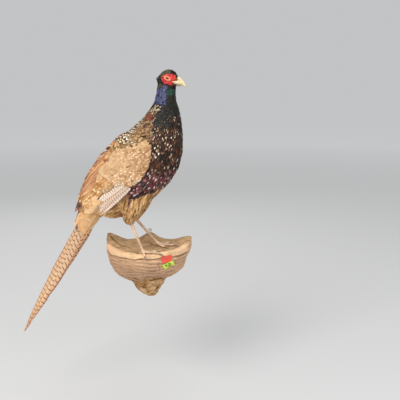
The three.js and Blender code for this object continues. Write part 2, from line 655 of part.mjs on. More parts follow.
function toePlaces(leg, toe) {
  const { ballAt } = legPlaces(leg);
  const angle = THREE.MathUtils.degToRad(toe.turn);
  const at = (distance, lift) => {
    const x = ballAt.x + distance * Math.cos(angle);
    const y = ballAt.y + distance * Math.sin(angle);
    return vec(x, y, surfaceUnder(x, y) + lift);
  };
  const r = toe.radius;
  const steps = TOE_JOINTS.map((share) => at(toe.length * share, r * (1.3 - 0.3 * share) + GAP));
  const claw = [
    at(toe.length * 0.9, r * 0.95),
    at(toe.length + toe.claw * 0.4, r * 1.05),
    at(toe.length + toe.claw * 0.8, r * 0.6),
    at(toe.length + toe.claw, r * 0.15 + CLAW_TIP),
  ];
  return { toe: [ballAt, ...steps], claw };
}

function makeClaw(leg, toe, grow = 0) {
  const radii = [...CLAW_RADII.map((share) => toe.radius * share), CLAW_TIP];
  return limb(toePlaces(leg, toe).claw, radii, TOE_SIDES, grow);
}

function makeFoot(leg, grow = 0) {
  const { ballAt } = legPlaces(leg);
  let foot = ball(ballAt.x, ballAt.y, ballAt.z, BALL.radius + grow, 10);
  for (const toe of leg.toes) {
    const radii = TOE_TAPER.map((share) => toe.radius * share);
    foot = foot.add(limb(toePlaces(leg, toe).toe, radii, TOE_SIDES, grow));
  }
  return foot;
}

function makeSpur(leg, grow = 0) {
  const { heel, ballAt } = legPlaces(leg);
  const root = heel.clone().lerp(ballAt, SPUR.along);
  const [back, inside, down] = SPUR.way;
  const way = vec(back, -leg.side * inside, down).normalize();
  const at = (share) => root.clone().addScaledVector(way, SPUR.root + SPUR.length * share);
  return limb([at(0), at(0.5), at(1)], [SPUR.radius, SPUR.radius * 0.75, 0.5], TOE_SIDES, grow);
}

// ---------------------------------------------------------------- the scene graph
function meshOf(name, body, finish) {
  const { vertProperties, triVerts } = body.simplify(SIMPLIFY).getMesh();
  const geometry = new THREE.BufferGeometry();
  geometry.setAttribute("position", new THREE.BufferAttribute(new Float32Array(vertProperties), 3));
  geometry.setIndex(new THREE.BufferAttribute(new Uint32Array(triVerts), 1));
  const [color, roughness] = COLOURS[finish] ?? [finish, 0.7];
  const metalness = finish === "metal" ? 1 : 0;
  const mesh = new THREE.Mesh(geometry, new THREE.MeshStandardMaterial({ color, roughness, metalness }));
  mesh.name = name;
  return mesh;
}

const part = new THREE.Group();
const bird = new THREE.Group();
bird.position.copy(BIRD_AT);
bird.rotation.z = BIRD_YAW;
part.add(bird);

// The console, its hanger and its labels.
const hangerRoom = makeHangerEye(GAP).add(makeNail(GAP));
const shelf = makeConsole().subtract(hangerRoom);
const knobCut = vec(...KNOB_CUT.normal).normalize();
const knobOffset = knobCut.z * KNOB_CUT.z;
const upperShelf = shelf.trimByPlane(knobCut.toArray(), knobOffset + GAP / 2);
const knob = shelf.trimByPlane(knobCut.negate().toArray(), GAP / 2 - knobOffset);
part.add(meshOf("console", upperShelf, "shelf"));
part.add(meshOf("console_knob", knob, "bark"));
part.add(meshOf("hanger_eye", makeHangerEye(), "metal"));
part.add(meshOf("hanger_nail", makeNail(), "metal"));
LABELS.forEach((label, i) => {
  part.add(meshOf(label.name, makeLabel(label, LABELS.slice(0, i)), label.colour));
});

// Head, neck, trunk and rump, parted by thin cuts.
const middleTail = makeMiddleTail();
const aboveNeck = kept(wholeBird, NECK_CUTS[0], 1);
const belowHead = kept(wholeBird, NECK_CUTS[0], -1);
const belowNeck = kept(belowHead, NECK_CUTS[1], -1);
const tailRoom = makeMiddleTail(GAP).add(makeSideTail(RIGHT, GAP)).add(makeSideTail(LEFT, GAP));
bird.add(meshOf("head", aboveNeck.subtract(eyeSockets), "head"));
bird.add(meshOf("neck", kept(belowHead, NECK_CUTS[1], 1), "neck"));
bird.add(meshOf("trunk", kept(belowNeck, RUMP_CUT, 1), "trunk"));
bird.add(meshOf("tail_coverts", largest(kept(belowNeck, RUMP_CUT, -1).subtract(tailRoom)), "rump"));
bird.add(meshOf("bill_upper", makeBill(UPPER_BILL_ROWS), "bill"));
bird.add(meshOf("bill_lower", makeBill(LOWER_BILL_ROWS), "bill"));
bird.add(meshOf("tail_middle", middleTail, "tail"));

// The console in the bird's frame, grown by the gap, which the feet stand on.
const ground = makeConsole(GAP)
  .translate(-BIRD_AT.x, -BIRD_AT.y, -BIRD_AT.z)
  .rotate([0, 0, THREE.MathUtils.radToDeg(-BIRD_YAW)]);

// What the bird has on each side.
for (const [name, side] of [["right", RIGHT], ["left", LEFT]]) {
  const leg = LEGS[name];
  const shankRoom = makeShank(leg, GAP);
  const footRoom = makeFoot(leg, GAP);
  const clawRoom = leg.toes.map((toe) => makeClaw(leg, toe, GAP)).reduce((all, next) => all.add(next));
  const thigh = largest(makeThigh(leg).subtract(grownBody).subtract(shankRoom));
  bird.add(meshOf(`thigh_${name}`, thigh, "thigh"));
  bird.add(meshOf(`shank_${name}`, largest(makeShank(leg).subtract(footRoom)), "leg"));
  bird.add(meshOf(`foot_${name}`, largest(makeFoot(leg).subtract(clawRoom).subtract(ground)), "leg"));
  bird.add(meshOf(`spur_${name}`, largest(makeSpur(leg).subtract(shankRoom)), "claw"));
  for (const toe of leg.toes) {
    bird.add(meshOf(`claw_${toe.name}_${name}`, largest(makeClaw(leg, toe).subtract(ground)), "claw"));
  }
  bird.add(meshOf(`eye_${name}`, makeEye(side), "eye"));
  bird.add(meshOf(`wattle_${name}`, makeWattle(side), "wattle"));
  bird.add(meshOf(`wing_${name}`, makeWing(side), "wing"));
  bird.add(meshOf(`flight_feathers_${name}`, makeFlight(side), "flight"));
  bird.add(meshOf(`tail_side_${name}`, makeSideTail(side), "tail"));
}

export default part;
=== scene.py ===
# %% [markdown]
# # A mounted cock pheasant on a bracket-fungus console
# A taxidermist's bird is a shaped body with a skin drawn over it. Feathers lean on each other like roof
# tiles, so the outline is smooth although it is made of thousands of loose edges. This lesson builds it the
# same way: one skin, rows of feathers rooted on it, then the bare parts, the long quills and the console.
# The frame gives the true size and place of each part.

# %% Load the frame
import json
import math

import bmesh
import bpy
import numpy as np
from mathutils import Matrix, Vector
from mathutils.bvhtree import BVHTree

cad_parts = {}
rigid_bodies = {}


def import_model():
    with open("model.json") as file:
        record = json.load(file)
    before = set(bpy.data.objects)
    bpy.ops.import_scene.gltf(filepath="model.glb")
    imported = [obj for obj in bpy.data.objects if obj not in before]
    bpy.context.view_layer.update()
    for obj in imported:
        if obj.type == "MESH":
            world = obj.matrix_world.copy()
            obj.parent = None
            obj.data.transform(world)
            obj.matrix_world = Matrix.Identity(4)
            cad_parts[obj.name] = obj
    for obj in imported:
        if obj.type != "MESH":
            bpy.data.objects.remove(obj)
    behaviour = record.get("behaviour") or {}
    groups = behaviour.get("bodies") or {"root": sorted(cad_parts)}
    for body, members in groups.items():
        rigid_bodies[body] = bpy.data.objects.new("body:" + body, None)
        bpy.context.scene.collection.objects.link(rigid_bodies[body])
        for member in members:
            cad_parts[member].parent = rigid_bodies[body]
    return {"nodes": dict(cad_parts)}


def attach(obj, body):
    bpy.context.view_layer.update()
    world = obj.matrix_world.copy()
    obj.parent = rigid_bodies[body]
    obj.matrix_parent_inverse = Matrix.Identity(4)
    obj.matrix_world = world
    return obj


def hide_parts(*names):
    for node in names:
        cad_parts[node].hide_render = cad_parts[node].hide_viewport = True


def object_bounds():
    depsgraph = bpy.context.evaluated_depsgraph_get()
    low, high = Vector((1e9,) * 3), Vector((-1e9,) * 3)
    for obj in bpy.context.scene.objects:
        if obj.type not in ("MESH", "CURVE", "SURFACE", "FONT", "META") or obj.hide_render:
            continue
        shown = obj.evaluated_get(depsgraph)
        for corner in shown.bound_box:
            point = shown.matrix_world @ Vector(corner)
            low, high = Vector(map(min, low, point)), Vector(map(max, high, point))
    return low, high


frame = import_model()
cad_box = [list(corner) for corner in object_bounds()]
nodes = frame["nodes"]
BODY = "root"  # a still model has one body, and every piece rides on it
print("nodes in the frame:", len(nodes))

# %% [markdown]
# ## Two frames
# The part's frame belongs to the console: its flat back is the plane Y = 0. The bird stands turned by ten
# degrees, so its own frame has x forward, y to its left and z up from the level of its feet. Everything on
# the bird is worked out there in millimetres and moved once, when a mesh is made.

# %% The bird's frame
MM = 0.001
BIRD_AT = np.array([0.0, -92.0, 50.0])
BIRD_YAW = math.radians(-10)
YAW = np.array([
    [math.cos(BIRD_YAW), -math.sin(BIRD_YAW), 0],
    [math.sin(BIRD_YAW), math.cos(BIRD_YAW), 0],
    [0, 0, 1],
])
RIGHT = -1
LEFT = 1
SIDES = {"right": RIGHT, "left": LEFT}


def bird_to_part(points):
    """Bird millimetres to the part's metres."""
    return (np.asarray(points, float) @ YAW.T + BIRD_AT) * MM


def part_to_bird(points):
    """The part's metres to bird millimetres."""
    return (np.asarray(points, float) / MM - BIRD_AT) @ YAW


def console_to_part(points):
    """The console's millimetres to the part's metres."""
    return np.asarray(points, float) * MM


print("bill tip at", bird_to_part([[93, 0, 417]])[0].round(3))

# %% [markdown]
# ## Numbers that curves and colours need
# A few small helpers serve the whole script: soft steps, a smooth curve through a row of given values,
# unit vectors, and painters' colour codes used as linear light.

# %% Small helpers
def ramp(value, low, high):
    """0 below low, 1 above high and a smooth rise between them."""
    t = np.clip((value - low) / (high - low), 0, 1)
    return t * t * (3 - 2 * t)


def fade(value, low, high):
    """1 below low and 0 above high."""
    return 1 - ramp(value, low, high)


def bell(distance, width):
    return np.exp(-((distance / width) ** 2))


def unit(vectors):
    return vectors / np.maximum(np.linalg.norm(vectors, axis=-1, keepdims=True), 1e-9)


def upright(x, z):
    """Points of the bird's middle plane."""
    return np.stack([x, 0 * x, z], axis=-1)


def full_turn(count):
    return np.linspace(0, 2 * np.pi, count, endpoint=False)


def kept(chosen, *arrays):
    return [array[chosen] for array in arrays]


def curve_through(rows, at):
    """A smooth curve through equally spaced rows, at fractional rows."""
    rows = np.asarray(rows, float)
    at = np.clip(np.asarray(at, float), 0, len(rows) - 1)
    i = np.minimum(at.astype(int), len(rows) - 2)
    t = (at - i)[..., None]
    p0, p1, p2, p3 = (rows[np.clip(i + k, 0, len(rows) - 1)] for k in (-1, 0, 1, 2))
    start = (2 * t**3 - 3 * t**2 + 1) * p1 + (t**3 - 2 * t**2 + t) * (p2 - p0) / 2
    return start + (3 * t**2 - 2 * t**3) * p2 + (t**3 - t**2) * (p3 - p1) / 2


def smooth_path(rows, count):
    """The whole curve through the rows, at so many evenly spaced places."""
    return curve_through(rows, np.linspace(0, len(rows) - 1, count))


def paint(code):
    """A colour code such as C98F55 as linear red, green and blue."""
    value = np.array([int(code[i:i + 2], 16) for i in (0, 2, 4)]) / 255
    return np.where(value <= 0.04045, value / 12.92, ((value + 0.055) / 1.055) ** 2.4)


def new_object(name, data):
    made = bpy.data.objects.new(name, data)
    bpy.context.scene.collection.objects.link(made)
    return made


print("straw as linear light:", paint("E3C08C").round(3))

# %% [markdown]
# ## Nodes in few words
# Finishes and Geometry Nodes are both trees of small nodes. A few short calls add nodes and join them, and
# plain sums and products of their outputs become the nodes that work them out.

# %% Node helpers
def new_group(name, inputs, outputs, kind="ShaderNodeTree"):
    """A node group with sockets (name, socket kind) or (name, socket kind, default value)."""
    group = bpy.data.node_groups.new(name, kind)
    for way, sockets in (("INPUT", inputs), ("OUTPUT", outputs)):
        for label, socket_kind, *default in sockets:
            kind = "NodeSocket" + socket_kind
            socket = group.interface.new_socket(name=label, in_out=way, socket_type=kind)
            if default:
                socket.default_value = default[0]
    return group


class Value:
    """A node's output. Sums, products and powers of it add the nodes that work them out."""

    def __init__(self, wiring, socket):
        self.wiring = wiring
        self.socket = socket


SIGNS = {"add": "ADD", "sub": "SUBTRACT", "mul": "MULTIPLY", "truediv": "DIVIDE", "pow": "POWER"}
for sign, operation in SIGNS.items():
    setattr(Value, f"__{sign}__", lambda one, other, how=operation: one.wiring.math(how, one, other))


class Wiring:
    """Short calls that add nodes to a tree and join them."""

    def __init__(self, tree):
        self.tree = tree

    def ends(self):
        """The sockets of what a group is given and of what it gives back."""
        return self.tree.nodes.new("NodeGroupInput").outputs, self.tree.nodes.new("NodeGroupOutput").inputs

    def put(self, socket, value):
        value = value.socket if isinstance(value, Value) else value
        if isinstance(value, bpy.types.NodeSocket):
            self.tree.links.new(value, socket)
        else:
            socket.default_value = value

    def node(self, kind, settings=None, **values):
        made = self.tree.nodes.new(kind)
        for key, value in (settings or {}).items():
            setattr(made, key, value)
        for key, value in values.items():
            self.put(made.inputs[key.replace("_", " ")], value)
        return made

    def value(self, output, kind, settings=None, **values):
        return Value(self, self.node(kind, settings, **values).outputs[output])

    def math(self, operation, *values):
        made = self.node("ShaderNodeMath", {"operation": operation})
        for socket, value in zip(made.inputs, values):
            self.put(socket, value)
        return Value(self, made.outputs[0])

    def length(self, forward, sideways):
        return self.math("SQRT", forward**2 + sideways**2)

    def mix(self, share, a, b, blend="MIX"):
        a, b = (v if isinstance(v, (Value, bpy.types.NodeSocket)) else (*v, 1) for v in (a, b))
        settings = {"data_type": "RGBA", "blend_type": blend}
        return self.value("Result", "ShaderNodeMix", settings, Factor=share, A=a, B=b)

    def step(self, value, low, high, to_low=0.0, to_high=1.0):
        return self.value("Result", "ShaderNodeMapRange", {"interpolation_type": "SMOOTHSTEP"}, Value=value,
                          From_Min=low, From_Max=high, To_Min=to_low, To_Max=to_high)

    def noise(self, place, scale, detail, rough=0.6):
        kind = "ShaderNodeTexNoise"
        return self.value("Fac", kind, Vector=place, Scale=scale, Detail=detail, Roughness=rough)

    def attribute(self, name, output="Color"):
        return self.value(output, "ShaderNodeAttribute", {"attribute_name": name})

    def place(self):
        return self.value("Object", "ShaderNodeTexCoord")

    def parts(self, vector):
        return [Value(self, part) for part in self.node("ShaderNodeSeparateXYZ", Vector=vector).outputs]

    def joined(self, x, y, z=0.0):
        return self.value("Vector", "ShaderNodeCombineXYZ", X=x, Y=y, Z=z)

    def group(self, group, **values):
        return self.node("ShaderNodeGroup", {"node_tree": group}, **values).outputs

    def finish(self, colour, roughness, height=None, strength=0.0, distance=0.0, **values):
        """Joins colour and bump to the shader, sets its other values and gives the material."""
        if height is not None:
            bump = self.node("ShaderNodeBump", Height=height, Strength=strength, Distance=distance)
            values["Normal"] = bump.outputs["Normal"]
        shader = self.tree.nodes["Principled BSDF"].inputs
        for key, value in {"Base Color": colour, "Roughness": roughness, **values}.items():
            self.put(shader[key.replace("_", " ")], value)
        return self.material


def new_material(name):
    material = bpy.data.materials.new(name)
    material.use_nodes = True
    w = Wiring(material.node_tree)
    w.material = material
    return w


print("node helpers ready")

# %% [markdown]
# ## Camera, light and floor
# A museum picture of a wall mount is taken from a little above its middle, straight at the wall. Large soft
# lamps, one of them stronger, keep the shadows open so that the dark breast still shows its markings.

# %% Camera
AIM = Vector((0.125, -0.088, 0.190))
CAMERA_DISTANCE = 1.389
CAMERA_RISE = math.radians(11)

camera_data = bpy.data.cameras.new("camera")
camera_data.lens = 50
camera_data.sensor_width = 36
camera = new_object("camera", camera_data)
camera.location = AIM + CAMERA_DISTANCE * Vector((0, -math.cos(CAMERA_RISE), math.sin(CAMERA_RISE)))
camera.rotation_euler = (math.pi / 2 - CAMERA_RISE, 0, 0)
bpy.context.scene.camera = camera
print("camera at", tuple(round(v, 3) for v in camera.location))

# %% Light and floor
LAMP_TARGET = Vector((-0.05, -0.08, 0.2))
for name, place, size, power, colour in (
    ("key_lamp", (-1.1, -2.0, 2.0), 1.2, 60, (1.0, 0.97, 0.93)),
    ("fill_lamp", (1.9, -1.9, 1.0), 1.8, 24, (0.95, 0.97, 1.0)),
    ("top_lamp", (0.2, -0.4, 2.6), 1.6, 14, (1.0, 1.0, 1.0)),
    ("back_lamp", (-0.6, 2.2, 1.6), 1.8, 9, (1.0, 1.0, 1.0)),
):
    lamp_data = bpy.data.lights.new(name, "AREA")
    lamp_data.size = size
    lamp_data.energy = power
    lamp_data.color = colour
    lamp = new_object(name, lamp_data)
    lamp.location = place
    lamp.rotation_euler = (LAMP_TARGET - Vector(place)).to_track_quat("-Z", "Y").to_euler()

world = bpy.data.worlds.new("soft_room")
world.use_nodes = True
world.node_tree.nodes["Background"].inputs["Color"].default_value = (0.88, 0.89, 0.9, 1)
world.node_tree.nodes["Background"].inputs["Strength"].default_value = 0.62
bpy.context.scene.world = world
bpy.context.scene.view_settings.view_transform = "Standard"

FLOOR_GAP = 0.22  # below the lowest point
FLOOR_LEVEL = cad_box[0][2] - FLOOR_GAP
FLOOR_SIZE = 60
bpy.ops.mesh.primitive_plane_add(size=FLOOR_SIZE, location=(0, 0, FLOOR_LEVEL))
floor = bpy.context.object
floor.name = "floor"
w = new_material("pale_floor")
far = w.node("ShaderNodeVectorMath", {"operation": "LENGTH"})
w.put(far.inputs[0], w.value("Position", "ShaderNodeNewGeometry"))
# The floor is painted paler with distance, from grey near the middle to white far off: painted light that
# makes up for the lamps' light falling off towards the horizon.
painted_far_light = w.value("Result", "ShaderNodeMapRange", Value=far.outputs["Value"], From_Min=0.5, From_Max=8.0,
                To_Min=0.62, To_Max=1.0)
floor.data.materials.append(w.finish(painted_far_light, 1.0, Specular_IOR_Level=0.0))
print("floor at", round(FLOOR_LEVEL, 3))

# %% [markdown]
# ## Making a piece
# Thousands of feathers are quicker to make as arrays of points and faces than one object at a time. One
# short function turns arrays into a mesh whose object stays at the origin, and another hands the piece to
# the frame: the body it rides on, its finish and the nodes that it stands for.

# %% Arrays to meshes
def new_mesh(name, points, faces, smooth=True):
    """A mesh of points in the part's metres and faces that all have as many corners."""
    faces = np.asarray(faces, np.int32)
    mesh = bpy.data.meshes.new(name)
    mesh.vertices.add(len(points))
    mesh.vertices.foreach_set("co", np.asarray(points, np.float32).ravel())
    mesh.loops.add(faces.size)
    mesh.loops.foreach_set("vertex_index", faces.ravel())
    mesh.polygons.add(len(faces))
    mesh.polygons.foreach_set("loop_start", np.arange(0, faces.size, faces.shape[1], dtype=np.int32))
    mesh.polygons.foreach_set("use_smooth", np.full(len(faces), smooth))
    mesh.update(calc_edges=True)
    return mesh


def read_rows(items, name, size, kind=float):
    """One property of all points, edges or corners of a mesh, as rows of so many numbers."""
    values = np.empty(len(items) * size, kind)
    items.foreach_get(name, values)
    return values.reshape(-1, size)


def grid_faces(index, turned=False, close=(0, 0)):
    """Faces between the points of a grid; close says whether its rows and its columns join end to start."""
    index = np.pad(index, [(0, more) for more in close], mode="wrap")
    a, b, c, d = index[:-1, :-1], index[:-1, 1:], index[1:, 1:], index[1:, :-1]
    return np.stack([a, d, c, b] if turned else [a, b, c, d], axis=-1).reshape(-1, 4)


def capped_faces(index, first, last):
    """Triangles round a tube of points and from its ends to the points first and last."""
    quads = grid_faces(index, turned=True, close=(0, 1))
    after = np.roll(index, -1, axis=1)
    start = np.stack([0 * index[0] + first, index[0], after[0]], axis=-1)
    end = np.stack([0 * index[-1] + last, after[-1], index[-1]], axis=-1)
    return np.concatenate([quads[:, :3], quads[:, [0, 2, 3]], start, end])


def hand_over(piece, material, replaced):
    """Gives a piece its finish, its body and the nodes that it stands for."""
    piece.data.materials.clear()
    piece.data.materials.append(material)
    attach(piece, BODY)
    if replaced:
        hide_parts(*replaced)
    print(f"{piece.name}: {sum(len(face.vertices) - 2 for face in piece.data.polygons)} triangles")
    return piece


def make_piece(name, points, faces, slot, material, replaced=(), smooth=True):
    """A piece from points in the part's metres."""
    return hand_over(new_object(name, new_mesh(name, points, faces, smooth)), material, replaced)


def set_colours(mesh, name, values):
    """A colour for each point of the mesh, kept as an attribute."""
    rgba = np.ones((len(values), 4), np.float32)
    rgba[:, :max(3, values.shape[1])] = values
    mesh.attributes.new(name, "FLOAT_COLOR", "POINT").data.foreach_set("color", rgba.ravel())


def set_map(mesh, name, values):
    """A UV map from one pair for each point of the mesh."""
    index = read_rows(mesh.loops, "vertex_index", 1, np.int32)[:, 0]
    layer = mesh.uv_layers.new(name=name)
    layer.data.foreach_set("uv", np.asarray(values, np.float32)[index].ravel())


def evaluated(piece):
    """A plain mesh of what the piece's modifiers make, with the modifiers taken off."""
    depsgraph = bpy.context.evaluated_depsgraph_get()
    mesh = bpy.data.meshes.new_from_object(piece.evaluated_get(depsgraph))
    piece.modifiers.clear()
    return mesh


print("helpers ready")

# %% [markdown]
# ## The skin
# On a real mount the skin is one piece from the bill to the tail. The solids are parted by thin cuts, so
# their copies are fused: a voxel remesh closes every cut, and a few rounds of smoothing take the facets
# away. A second body, without wings and thighs, is the smooth surface that feathers are laid on.

# %% Fused and smoothed solids
FLESH = ["head", "neck", "trunk", "tail_coverts", "thigh_right", "thigh_left"]
WINGS = ["wing_right", "wing_left"]
SKIN_VOXEL = 2.0 * MM


def fused(names, voxel, rounds):
    """Points (bird millimetres), normals and faces of the nodes' solids as one smooth body."""
    joined = bmesh.new()
    for name in names:
        joined.from_mesh(nodes[name].data)
    bmesh.ops.remove_doubles(joined, verts=joined.verts, dist=0.01 * MM)
    holder = new_object("fusing", bpy.data.meshes.new("solid_copy"))
    joined.to_mesh(holder.data)
    joined.free()
    remesh = holder.modifiers.new("fuse", "REMESH")
    remesh.mode = "VOXEL"
    remesh.voxel_size = voxel
    smoothing = holder.modifiers.new("smooth", "SMOOTH")
    smoothing.factor = 0.5
    smoothing.iterations = rounds
    mesh = evaluated(holder)
    bpy.data.objects.remove(holder)
    points = read_rows(mesh.vertices, "co", 3)
    normals = read_rows(mesh.vertices, "normal", 3)
    faces = read_rows(mesh.loops, "vertex_index", 1, np.int32).reshape(-1, 4)
    bpy.data.meshes.remove(mesh)
    return part_to_bird(points), normals @ YAW, faces


skin_points, skin_normals, skin_faces = fused(FLESH + WINGS, SKIN_VOXEL, 6)
body_points, body_normals, body_faces = fused(FLESH[:4], SKIN_VOXEL, 8)
print("skin:", len(skin_points), "points; body:", len(body_points), "points")

# %% [markdown]
# ## Finding the surface
# Feathers are laid by asking where the nearest point of a surface is and which way it faces. A search tree
# answers fast, and the corners' normals are blended so that a curved place doesn't show its facets.

# %% A surface that feathers can lie on
class Surface:
    """A closed surface in bird millimetres that can be searched by nearest point or by ray."""

    def __init__(self, points, normals, faces):
        self.points = points
        self.normals = normals
        self.faces = faces
        self.tree = BVHTree.FromPolygons(points.tolist(), faces.tolist())

    def nearest(self, places):
        """The nearest points and their blended normals, for places of any shape (..., 3)."""
        flat = np.asarray(places, float).reshape(-1, 3)
        found = [self.tree.find_nearest(place) for place in flat.tolist()]
        hits = np.array([hit[0] for hit in found])
        corners = self.faces[np.array([hit[2] for hit in found])]
        gap = np.linalg.norm(self.points[corners] - hits[:, None], axis=2)
        weight = 1 / (gap**2 + 0.05)
        normals = unit((self.normals[corners] * weight[..., None]).sum(1))
        return hits.reshape(np.shape(places)), normals.reshape(np.shape(places))

    def cast(self, starts, ways):
        """Where rays from inside leave the surface; a ray that misses keeps its start."""
        hits = np.array(starts, float)
        for i, (start, way) in enumerate(zip(starts.tolist(), ways.tolist())):
            hit = self.tree.ray_cast(start, way)[0]
            if hit is not None:
                hits[i] = hit
        return hits


body = Surface(body_points, body_normals, body_faces)
print("nearest to the eye:", body.nearest(np.array([[52.0, -20.0, 436.0]]))[0][0].round(1))

# %% [markdown]
# ## Rows round the body
# Feathers grow in rows that circle the body like hoops and point towards the tail. The hoops follow
# given sections. Rays from the middle of a section find the hoop on the surface, and the step from one
# hoop to the next is the way its feathers lie.

# %% Hoops on the surface
# Each row: the point on the back (x, z) and the point on the breast or belly (x, z).
SECTIONS = [
    (31, 437, 64, 433), (25, 424, 69, 417), (20.5, 403, 68.5, 400), (15.5, 384, 70, 384), (4.5, 366, 76, 367),
    (-18, 339, 82, 341), (-48, 314, 85.5, 304), (-78, 291, 85, 260), (-106, 262, 75, 222),
    (-130, 233, 52, 185), (-149, 206, 22, 155), (-162, 183, -10, 126), (-172, 160, -45, 100),
    (-181, 133, -88, 91), (-187, 109, -114, 100), (-195, 85, -134, 88), (-207, 58, -152, 64),
    (-215, 40, -166, 46),
]
HOOP_STEP = 0.25  # in sections
HOOP_POINTS = 60


class Hoops:
    """Hoops round a body, each a ring of surface points from the back (turn 0) round by the bird's left."""

    def __init__(self, surface, starts, ups):
        turns = full_turn(HOOP_POINTS)[None, :, None]
        ups = np.broadcast_to(ups, starts.shape)[:, None]
        ways = ups * np.cos(turns) + np.array([0.0, 1.0, 0.0]) * np.sin(turns)
        begin = np.broadcast_to(starts[:, None], ways.shape)
        self.rings = surface.cast(begin.reshape(-1, 3), ways.reshape(-1, 3)).reshape(ways.shape)
        step = np.linalg.norm(np.diff(self.rings, axis=0), axis=2).mean(1)
        self.length = np.concatenate([[0], np.cumsum(step)])

    def ring(self, at):
        """The hoop at a distance along the body, and the way from each of its points towards the tail."""
        place = np.interp(at, self.length, np.arange(len(self.length)))
        i = min(int(place), len(self.rings) - 2)
        t = place - i
        here = self.rings[i] * (1 - t) + self.rings[i + 1] * t
        return here, unit(self.rings[min(i + 2, len(self.rings) - 1)] - self.rings[max(i - 1, 0)])


def rows_on_hoops(hoops, first, last, size_of, pitch, spread, rng):
    """Roots in staggered rows: places, ways and their (turn, distance) on the unrolled surface."""
    found = []
    at = first
    while at < last:
        ring, ways = (np.vstack([part, part[:1]]) for part in hoops.ring(at))
        length, width = size_of(ring[:-1])
        density = np.linalg.norm(np.diff(ring, axis=0), axis=1) / (width * spread)
        count_up = np.concatenate([[0], np.cumsum(density)])
        count = max(3, int(round(count_up[-1])))
        marks = (np.arange(count) + 0.5 * (len(found) % 2) + rng.uniform(-0.3, 0.3, count)) % count
        place = np.interp(marks * count_up[-1] / count, count_up, np.arange(len(ring)))
        i = np.minimum(place.astype(int), len(ring) - 2)
        t = (place - i)[:, None]
        roots = ring[i] * (1 - t) + ring[i + 1] * t
        lies = unit(ways[i] * (1 - t) + ways[i + 1] * t)
        roots = roots + lies * rng.uniform(-0.35, 0.35, count)[:, None] * length.mean() * pitch
        unrolled = np.stack([place / HOOP_POINTS, np.full(count, at / hoops.length[-1])], axis=1)
        found.append((roots, lies, unrolled))
        at += float(np.average(length)) * pitch
    return tuple(np.concatenate(parts) for parts in zip(*found))


section_rows = curve_through(SECTIONS, np.arange(0, len(SECTIONS) - 1 + HOOP_STEP / 2, HOOP_STEP))
backs, fronts = (upright(section_rows[:, k], section_rows[:, k + 1]) for k in (0, 2))
body_hoops = Hoops(body, (backs + fronts) / 2, unit(backs - fronts))
print("length along the body:", round(body_hoops.length[-1]), "mm")

# %% [markdown]
# ## One feather, many times
# A contour feather is a shallow curved blade. Here it is a small closed grid, a little thicker at the
# shaft. All the blades of a region are worked out together. Each is laid flat, drawn onto the surface, and
# lifted from the root, which sits on the skin, to the tip, which rests on its neighbours. Its edges are a
# little ragged, as real barbs part.

# %% Blades laid on a surface
class Blades:
    """How fine a feather's grid is: rows from root to tip and columns across."""

    def __init__(self, rows, columns):
        self.shape = (rows, columns)
        share = np.linspace(0, 1, rows)
        self.u = share + 0.16 * np.sin(2 * np.pi * share) / (2 * np.pi) * 2 * share
        self.v = np.linspace(-1, 1, columns)
        top = np.arange(rows * columns).reshape(rows, columns)
        under = top.copy()
        inner = under[1:-1, 1:-1]
        inner[:] = top.size + np.arange(inner.size).reshape(inner.shape)
        self.count = top.size + inner.size
        self.faces = np.concatenate([grid_faces(top, turned=True), grid_faces(under)])
        self.rim = np.concatenate([(top == under).ravel(), np.zeros(inner.size, bool)])
        # Each point's place on the blade: 0 to 1 from root to tip, and 0 to 1 across.
        whole = np.stack(np.meshgrid(self.u, self.v / 2 + 0.5, indexing="ij"), axis=-1)
        self.vane = np.concatenate([whole.reshape(-1, 2), whole[1:-1, 1:-1].reshape(-1, 2)])


TINY = Blades(5, 3)
SMALL = Blades(7, 5)


def outline(u, pointed):
    """A blade's half width along its length, from 0 to 1: a round tip, or a narrow one where pointed is 1."""
    rise = np.clip(u / 0.4, 0, 1) ** 0.6
    round_tip = np.sqrt(np.clip(1 - (np.clip(u - 0.62, 0, 1) / 0.385) ** 2, 0, 1))
    narrow_tip = np.clip((1 - u) / 0.72, 0, 1) ** 0.8
    return 0.1 + 0.9 * rise * (round_tip * (1 - pointed) + narrow_tip * pointed)


def lay_blades(surface, grid, roots, ways, length, width, low, high, rng, pointed=0.0, ragged=0.06,
               camber=0.1, fray=0.3, over=None):
    """Points (bird millimetres) of every blade: its top, row by row, and then the inside of its underside."""
    count = len(roots)
    length, width, low, high, pointed = (
        np.broadcast_to(np.asarray(v, float), count)[:, None, None]
        for v in (length, width, low, high, pointed)
    )
    places, normals = surface.nearest(roots)
    ways = unit(ways - (ways * normals).sum(1)[:, None] * normals)
    across = np.cross(normals, ways)
    u = np.broadcast_to(grid.u[None, :, None], (count, *grid.shape))
    v = np.broadcast_to(grid.v[None, None, :], u.shape)
    frayed = 1 - ragged * rng.random((count, grid.shape[0], 1))
    frayed = frayed - ragged * rng.random(u.shape) * (np.abs(v) > 0.9)
    half = width / 2 * outline(u, pointed) * frayed
    forward = u * length * (1 - 0.04 * v**2 * (u > 0.6))
    bend = rng.uniform(-0.05, 0.05, (count, 1, 1)) * length * u**2
    flat = places[:, None, None] + ways[:, None, None] * forward[..., None]
    hits, hit_normals = surface.nearest(flat + across[:, None, None] * (v * half + bend)[..., None])
    lift = low + (high - low) * u + rng.uniform(-fray, fray, (count, 1, 1)) * u
    lift = lift - camber * width * v**2 * outline(u, pointed)
    if over is not None:
        lift = lift + over(hits)
    top = hits + hit_normals * lift[..., None]
    thick = np.minimum(0.5, 0.06 * width) * (1 - v**2)
    under = (top - hit_normals * thick[..., None])[:, 1:-1, 1:-1]
    return np.concatenate([top.reshape(count, -1, 3), under.reshape(count, -1, 3)], axis=1)


PATCH = 0.003  # how wide a feather is on the unrolled skin


